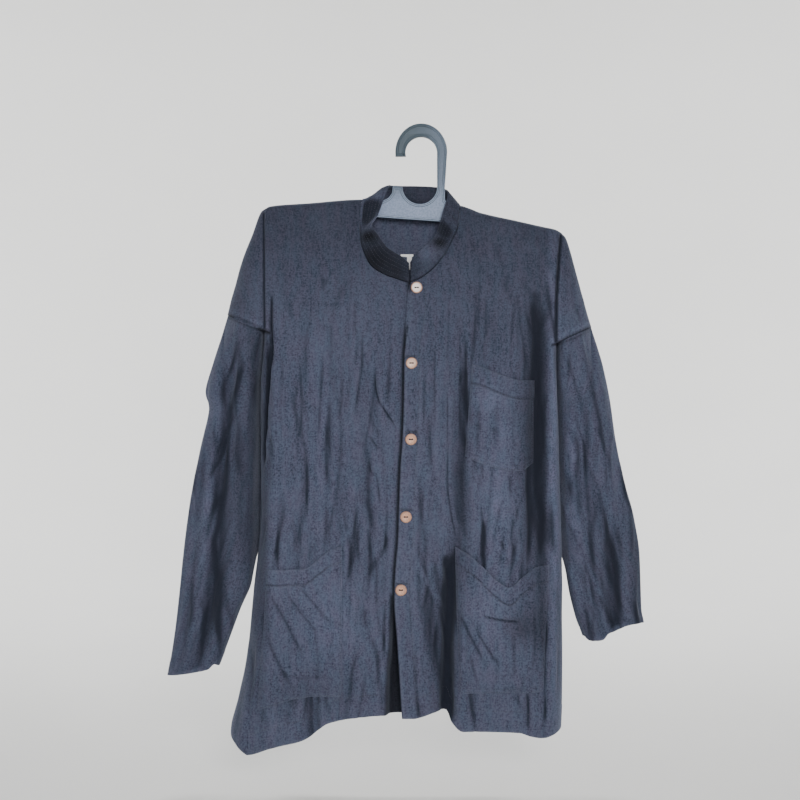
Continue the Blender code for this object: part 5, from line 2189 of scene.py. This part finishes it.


# Painted light and shade on the fronts: darker towards the shoulders, painted shade in troughs and
# along gaps, painted light on lit ridges
FRONT_TONE_AND_SHADE = ToneAndShade(
    ((-900, 0.98), (-600, 1.0), (-330, 0.94), (-280, 0.90), (-230, 0.82), (-190, 0.74),
     (-160, 0.66), (-125, 0.56), (-85, 0.48)),
    ((-212, -650, 12, 120, -0.3), (-130, -390, 16, 100, 0.15), (51, -460, 12, 120, -0.4),
     (98, -490, 18, 80, 0.25), (149, -430, 22, 190, -0.45), (156, -430, 9, 190, -0.45),
     (172, -400, 8, 240, 0.9), (88, -640, 30, 50, 0.15), (-120, -640, 40, 60, 0.2),
     (-244, -225, 24, 120, -0.25), (27, -685, 20, 115, -0.3), (-204, -330, 5, 90, -0.35),
     (-206, -520, 7, 120, -0.4), (157, -640, 9, 60, -0.35), (-140, -730, 60, 24, -0.15),
     (132, -645, 24, 22, -0.45), (90, -250, 60, 70, -0.12),
     (144, -385, 14, 70, -0.4), (88, -352, 16, 18, 0.3), (106, -392, 22, 24, 0.15)))
BACK_TONE = ToneAndShade(((-900, 1.0), (-300, 1.0), (-200, 0.95), (-150, 0.9), (-85, 0.85)))
# Painted light and shade on the sleeves: darker caps, painted shade along the gap by the body,
# painted light on the right sleeve's lit strip
SLEEVE_TONE_AND_SHADE = {
    Side.LEFT: ToneAndShade(((-900, 0.9), (-560, 0.85), (-480, 0.8), (-330, 0.85), (-260, 0.75)),
                    ((-262, -390, 16, 70, 0.3), (-228, -540, 12, 80, -0.25),
                     (-284, -500, 12, 120, 0.3), (-240, -440, 14, 90, -0.25),
                     (-221, -320, 7, 90, -0.4), (-204.5, -340, 5, 120, -0.7))),
    Side.RIGHT: ToneAndShade(((-900, 0.95), (-400, 0.9), (-300, 0.9), (-250, 0.8)),
                     ((192, -470, 14, 110, 0.6), (290, -560, 16, 110, -0.4))),
}
# Painted shade on the collar's left half and in its dents, painted light where it meets the lit
# shoulder
COLLAR_TONE_AND_SHADE = ToneAndShade(((-300, 0.78), (-190, 0.74), (-150, 0.66), (-120, 0.56), (-60, 0.46)),
                   ((-62, -168, 36, 32, -0.85), (-30, -185, 24, 24, -0.6),
                    (-68, -136, 13, 9, -0.92), (24, -144, 10, 8, -0.9), (6, -158, 10, 10, 0.6),
                    (-68, -98, 26, 26, 2.0)))

# Creases of the two fronts, as points across and down the cloth
FRONT_RIGHT_CREASES = [
    Crease(((-61.8, -300), (-60.0, -330), (-55.3, -352), (-35.8, -381.9), (-29, -404.6)), 1.9, 2.0,
           0.7, 0.5, 0.3, 0.26),
    Crease(((-70, -396), (-52.7, -418.3)), 2.0, 1.3, 0.5, 0.3, 0.3, 0.2),
    Crease(((-68.3, -419), (-66.2, -443), (-59.2, -450.8), (-54, -493.7)), 2.0, 1.5, 0.5, 0.4, 0.3,
           0.2),
    Crease(((-208.7, -98), (-206.5, -180), (-204.6, -264)), 1.5, 3.0, 0.2, 0.6, 0.06, 0.42),
    Crease(((-195.5, -205), (-195.7, -285.7), (-198.3, -311.7), (-200.9, -350.7),
            (-204.8, -409.2), (-206, -440)), 1.7, 5.5, 0.3, 0.5, 0.1, 0.2),
    Crease(((-190.5, -225.9), (-119, -225.9), (-64.4, -228.5)), 1.2, 0.4, 0.0, 0.2, 0.05),
    Crease(((-150, -230), (-152, -420), (-158, -600)), 9.0, 1.6, 0.0, 0.0, 0.3, 0.08),
    Crease(((-100, -210), (-104, -420), (-108, -640)), 8.0, 1.4, 0.0, 0.0, 0.3, 0.08),
    Crease(((-66, -250), (-70, -480), (-74, -700)), 6.0, 1.4, 0.2, 0.0, 0.3, 0.1),
    Crease(((-44, -420), (-46, -560), (-50, -720)), 3.0, 1.4, 0.3, 0.2, 0.2, 0.14),
] + [Crease(((-214.5, z + 0.6), (-210, z), (-206.6, z - 0.4)), 1.1, 0.55, 0.0, 0.3, 0.3, 0.3)
     for z in np.arange(-262.0, -196.0, 4.6)]
FRONT_LEFT_CREASES = [
    Crease(((34.4, -324.7), (34.4, -454.7), (46.1, -541.8)), 1.8, 2.0, 0.5, 0.6, 0.2, 0.2),
    Crease(((55.2, -300), (56, -432)), 4.5, 3.0, 0.3, 0.1, 0.25, 0.12),
    Crease(((186.0, -128), (180.5, -181.7), (177.5, -220.7), (176.4, -279)), 1.9, 5.0, 0.1, 0.4,
           0.05, 0.45),
    Crease(((49.4, -228), (50, -300), (49, -420)), 1.8, 1.2, 0.2, 0.3, 0.25, 0.22),
    Crease(((57.8, -262), (58.5, -330), (59.5, -400)), 2.2, 1.3, 0.2, 0.3, 0.25, 0.2),
    Crease(((18.8, -250), (17, -330), (19, -430)), 1.8, 1.0, 0.2, 0.3, 0.25, 0.2),
    Crease(((4.5, -300), (3, -360), (1, -440)), 1.8, 1.0, 0.2, 0.3, 0.25, 0.2),
    Crease(((83, -206), (84, -250), (82, -292)), 2.2, 1.1, 0.2, 0.3, 0.25, 0.2),
    Crease(((69, -212), (70, -250), (69, -300)), 2.0, 0.9, 0.2, 0.3, 0.25, 0.2),
    Crease(((36, -215), (35, -262), (33, -320)), 2.0, 0.9, 0.2, 0.3, 0.25, 0.2),
    Crease(((24, -216.8), (102, -216.8), (167, -211.6)), 1.2, 0.4, 0.0, 0.2, 0.05),
    Crease(((78.3, -505.4), (78.6, -566.5)), 2.4, 1.4, 0.5, 0.3, 0.3, 0.18),
    Crease(((102, -530.1), (113.7, -558.7)), 2.4, 1.4, -0.5, 0.3, 0.3, 0.18),
    Crease(((53, -400), (50, -500), (52, -600)), 9.0, 3.0, 0.2, 0.0, 0.25, 0.1),
    Crease(((38, -545), (35, -662), (30.5, -775)), 6.5, 4.5, 0.3, 0.2, 0.15, 0.14),
    Crease(((147, -205), (146, -420), (147, -600)), 9.0, 1.6, 0.0, 0.0, 0.12, 0.1),
    Crease(((115, -445.6), (116.3, -480.7)), 2.4, 1.2, 0.4, 0.3, 0.3, 0.18),
    Crease(((160, -610), (161, -775)), 2.6, 2.6, 0.4, 0.4, 0.1, 0.2),
    Crease(((138.4, -727), (138.4, -780)), 3.2, 2.2, 0.4, 0.3, 0.2, 0.2),
    Crease(((92, -225), (90, -330)), 7.0, 1.2, 0.0, 0.0, 0.3, 0.1),
    Crease(((14, -240), (12, -420), (8, -600)), 6.0, 1.2, 0.0, 0.0, 0.3, 0.1),
]
BODY_CRINKLE_RIGHT = (
    Crinkle(11, 190, (-205, -35), (-760, -235), 1, 5, (60, 220), (1.8, 4.2), (0.4, 1.4)),
    Crinkle(14, 60, (-205, -35), (-760, -480), 4, 14, (50, 130), (2.5, 5.5), (0.7, 2.0)),
    Crinkle(12, 50, (-250, -205), (-790, -280), 0, 6, (60, 160), (2.0, 4.5), (0.4, 1.2)),
    Crinkle(13, 60, (-200, -90), (-235, -105), 5, 25, (30, 80), (3.0, 7.0), (0.3, 0.8)),
)
BODY_CRINKLE_LEFT = (
    Crinkle(21, 190, (-10, 175), (-760, -225), -1, 5, (60, 220), (1.8, 4.2), (0.4, 1.4)),
    Crinkle(24, 60, (-10, 175), (-760, -480), -4, 14, (50, 130), (2.5, 5.5), (0.7, 2.0)),
    Crinkle(22, 50, (160, 225), (-250, -140), -10, 20, (30, 80), (3.0, 7.0), (0.4, 1.2)),
    Crinkle(23, 50, (30, 170), (-225, -120), -5, 25, (30, 80), (3.0, 7.0), (0.3, 0.8)),
)
BACK_CRINKLE = (
    Crinkle(31, 260, (-240, 180), (-780, -230), 0, 12, (50, 140), (3.5, 7.5), (0.4, 1.3)),
    Crinkle(32, 60, (-230, 215), (-230, -100), 0, 35, (30, 90), (4.0, 8.0), (0.2, 0.7)),
)
SLEEVE_CRINKLE = {
    Side.LEFT: (
        Crinkle(41, 110, (-335, -215), (-715, -265), 8, 7, (50, 170), (2.0, 4.8), (0.5, 1.7)),
        Crinkle(42, 90, (-335, -215), (-715, -265), 8, 16, (35, 110), (3.0, 6.5), (0.4, 1.3))),
    Side.RIGHT: (
        Crinkle(51, 110, (185, 300), (-680, -280), -8, 7, (50, 170), (2.0, 4.8), (0.5, 1.7)),
        Crinkle(52, 90, (185, 300), (-680, -280), -8, 16, (35, 110), (3.0, 6.5), (0.4, 1.3))),
}
POCKET_CREASES = {
    "chest": [Crease(((75, -345), (72, -428)), 4, 1.2, 0.4, 0.1, 0.3, 0.12),
              Crease(((98, -340), (95, -425)), 5, 1.0, 0.2, 0.0, 0.3, 0.12),
              Crease(((120, -345), (119, -428)), 3, 0.8, 0.3, 0.2, 0.3, 0.14),
              Crease(((62, -380), (104, -392)), 3, 0.6, 0.3, 0.1, 0.3, 0.14)],
    "low_left": [
        Crease(((73.4, -628.9), (100, -635), (133.2, -638)), 2.4, 1.5, 0.6, 0.5, 0.25, 0.22),
        Crease(((44.8, -616), (60, -650), (86, -700)), 3.2, 1.5, 0.5, 0.2, 0.3, 0.14),
        Crease(((63, -636), (82, -668), (104, -700)), 3.2, 1.4, 0.5, 0.2, 0.3, 0.14),
        Crease(((60.4, -675), (68, -702), (76, -724)), 2.6, 1.2, 0.4, 0.2, 0.3, 0.14),
        Crease(((118, -640), (120, -690), (116, -725)), 3.0, 1.0, 0.3, 0.1, 0.3, 0.14),
        Crease(((146, -600), (147, -660), (142, -722)), 2.6, 1.0, 0.3, 0.2, 0.3, 0.14),
        Crease(((96, -655), (99, -690), (96, -724)), 2.2, 0.8, 0.3, 0.2, 0.3, 0.14)],
    "low_right": [
        Crease(((-204, -592), (-180, -632), (-148, -694)), 3.4, 1.4, 0.5, 0.2, 0.3, 0.13),
        Crease(((-182, -592), (-160, -622), (-126, -664)), 3.0, 1.2, 0.4, 0.2, 0.3, 0.13),
        Crease(((-164, -584), (-142, -612), (-110, -652)), 2.8, 1.1, 0.4, 0.2, 0.3, 0.13),
        Crease(((-206, -640), (-188, -684), (-160, -738)), 3.4, 1.4, 0.4, 0.2, 0.3, 0.13),
        Crease(((-190, -700), (-150, -712), (-112, -708)), 2.4, 0.9, 0.3, 0.2, 0.3, 0.14),
        Crease(((-140, -640), (-134, -690), (-138, -730)), 2.6, 0.9, 0.3, 0.2, 0.3, 0.14),
        Crease(((-117.7, -641.9), (-96, -641.9)), 2.2, 0.9, 0.0, 0.2, 0.3, 0.14)],
}


def scattered(areas: tuple) -> list:
    """All creases of several crinkled areas."""
    return [crease for area in areas for crease in area.creases()]


def make_panels() -> tuple:
    """Lay out the two fronts and the back.

    Returns:
        The right front, the left front and the back.
    """
    def shoulder(xs: list) -> Grid:
        """Points on the shoulder line."""
        places = np.array(xs, float)
        return np.stack([places, DRAPE.shoulder(places)], 1)

    centre = float(column(CENTRE_EDGE, 0, 1, np.array([-200.0]))[0])
    right_tops = np.concatenate([shoulder([-203, -186, -168, -150, -132, -114, -96]),
                                 NECK_LEFT[::-1, :2],
                                 [(centre + FrontRight.lap_width, -201)]])
    left_tops = np.concatenate([NECK_RIGHT[::-1, :2],
                                shoulder([68, 86, 104, 122, 140, 156, 168, 178])])
    back_tops = np.concatenate([shoulder([-203, -186, -166, -145, -122, -100]),
                                NECK_LEFT[-1:, :2], NECK_BACK[:, :2], NECK_RIGHT[:1, :2],
                                shoulder([70, 90, 110, 130, 148, 164, 178])])
    right = FrontRight("front_right_cloth", True, right_tops, RIGHT_HEM, (Side.LEFT,),
                       FRONT_RIGHT_CREASES + scattered(BODY_CRINKLE_RIGHT), (0.30, 0.74),
                       FRONT_TONE_AND_SHADE)
    left = FrontLeft("front_left_cloth", True, left_tops, LEFT_HEM, (Side.RIGHT,),
                     FRONT_LEFT_CREASES + scattered(BODY_CRINKLE_LEFT), (0.29, 0.74), FRONT_TONE_AND_SHADE)
    back = Panel("back_cloth", False, back_tops, BACK_HEM, (Side.LEFT, Side.RIGHT),
                 scattered(BACK_CRINKLE), (0.50, 0.74), BACK_TONE, columns=150)
    return right, left, back


def make_pockets() -> dict:
    """Lay out the three patch pockets.

    Returns:
        Each pocket by the solid that it stands for.
    """
    return {
        "pocket_chest": Pocket("pocket_chest_sewn", 66, 148, 57, 146,
                               (-304, -309, -316, -322, -325, -325),
                               (-424, -432, -438, -442, -443, -433), 24.0, 1.0,
                               POCKET_CREASES["chest"], (0.086, 0.125)),
        "pocket_low_left": Pocket("pocket_low_left_sewn", 44, 166, 49, 158,
                                  (-542, -552, -567, -584, -594, -581, -568, -565),
                                  (-730, -731, -731, -731, -731, -731, -731, -729), 22.0, 2.4,
                                  POCKET_CREASES["low_left"], (0.118, 0.175)),
        "pocket_low_right": Pocket("pocket_low_right_sewn", -201, -103, -212, -104,
                                   (-571, -572, -571, -570, -559, -546, -540),
                                   (-750, -746, -741, -738, -737, -736, -735), 20.0, 1.6,
                                   POCKET_CREASES["low_right"], (0.108, 0.182)),
    }


def sew_fronts(threads: dict, panels: dict, trees: dict) -> None:
    """Sew the facing and the hems of the two fronts.

    Args:
        threads: Thread of each front.
        panels: The panels by name.
        trees: Facets of the panels by name.
    """
    z = np.linspace(-205, -762, 220)
    x = column(CENTRE_EDGE, 0, 1, z) + panels["front_left"].facing
    threads["front_left"].sew(trees["front_left"], list(zip(x, z)))
    for name, first, last in (("front_left", -20, 158), ("front_right", -225, -52)):
        x = np.linspace(first, last, 120)
        z = panels[name].hem_z(x) + panels[name].hem_band
        threads[name].sew(trees[name], list(zip(x, z)))


def main() -> None:
    """Build the shirt, its trims, the hanger and the studio."""
    logging.basicConfig(level=logging.INFO, format="%(message)s")
    Studio().build()
    effects = Effects.build()
    cloth, band = CLOTH.build(effects), COLLAR_CLOTH.build(effects)
    thread, pale = THREAD.build(effects), DARK_THREAD.build(effects)
    panels = dict(zip(("front_right", "front_left", "back"), make_panels()))
    pieces, trees, threads = {}, {}, {}
    for name, panel in panels.items():
        pieces[name] = panel.build(cloth)
        trees[name] = facets(pieces[name])
        threads[name] = Thread()
        log.info("%s: %d faces", name, len(pieces[name].data.polygons))
    for side, node in ((Side.LEFT, "sleeve_right"), (Side.RIGHT, "sleeve_left")):
        front, behind = SLEEVE_CRINKLE[side]
        pieces[node] = Sleeve(side, f"{node}_cloth", front.creases(), behind.creases(),
                              SLEEVE_TONE_AND_SHADE[side]).build(cloth)
    collar_thread = Thread(radius=0.24, pitch=2.9, length=2.0)
    pieces["collar_band"] = Collar().build(band, collar_thread)
    pockets = make_pockets()
    for node, pocket in pockets.items():
        carrier = "front_right" if node == "pocket_low_right" else "front_left"
        pieces[node] = pocket.build(trees[carrier], cloth)
        tree = facets(pieces[node])
        rows = [("left", 2.0), ("right", 2.0), ("foot", 2.0), ("band", pocket.band)]
        if node != "pocket_low_right":
            rows.append(("foot", 7.0))
        for kind, inset in rows:
            threads[carrier].sew(tree, pocket.row(kind, inset))
    sew_fronts(threads, panels, trees)
    sewn = {name: add_trim(threads[name].build(f"stitches_{name}", thread), "cloth_fine")
            for name in ("front_left", "front_right")}
    collar_stitches = add_trim(collar_thread.build("stitches_collar", thread), "cloth_fine")
    label = NeckLabel().build(trees["back"], TAPE.build(effects))
    Buttonholes().build(trees["front_left"], thread)
    Buttons().build(trees["front_left"], BUTTON.build(effects), pale)
    Hanger().build(PLASTIC.build(effects))
    for name, area, trims in (("front_right", 0.19, [sewn["front_right"]]),
                              ("front_left", 0.17, [sewn["front_left"]]), ("back", 0.34, [])):
        declare_sheet(pieces[name], name)
    for node, flat in (("sleeve_right", (0.20, 0.48)), ("sleeve_left", (0.19, 0.42))):
        declare_sheet(pieces[node], node)
    declare_sheet(pieces["collar_band"], "collar_band")
    for node, pocket in pockets.items():
        carrier = "front_right" if node == "pocket_low_right" else "front_left"
        declare_sheet(pieces[node], node)
    declare_sheet(label, "neck_label")
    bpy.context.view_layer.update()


if __name__ == "__main__":
    main()
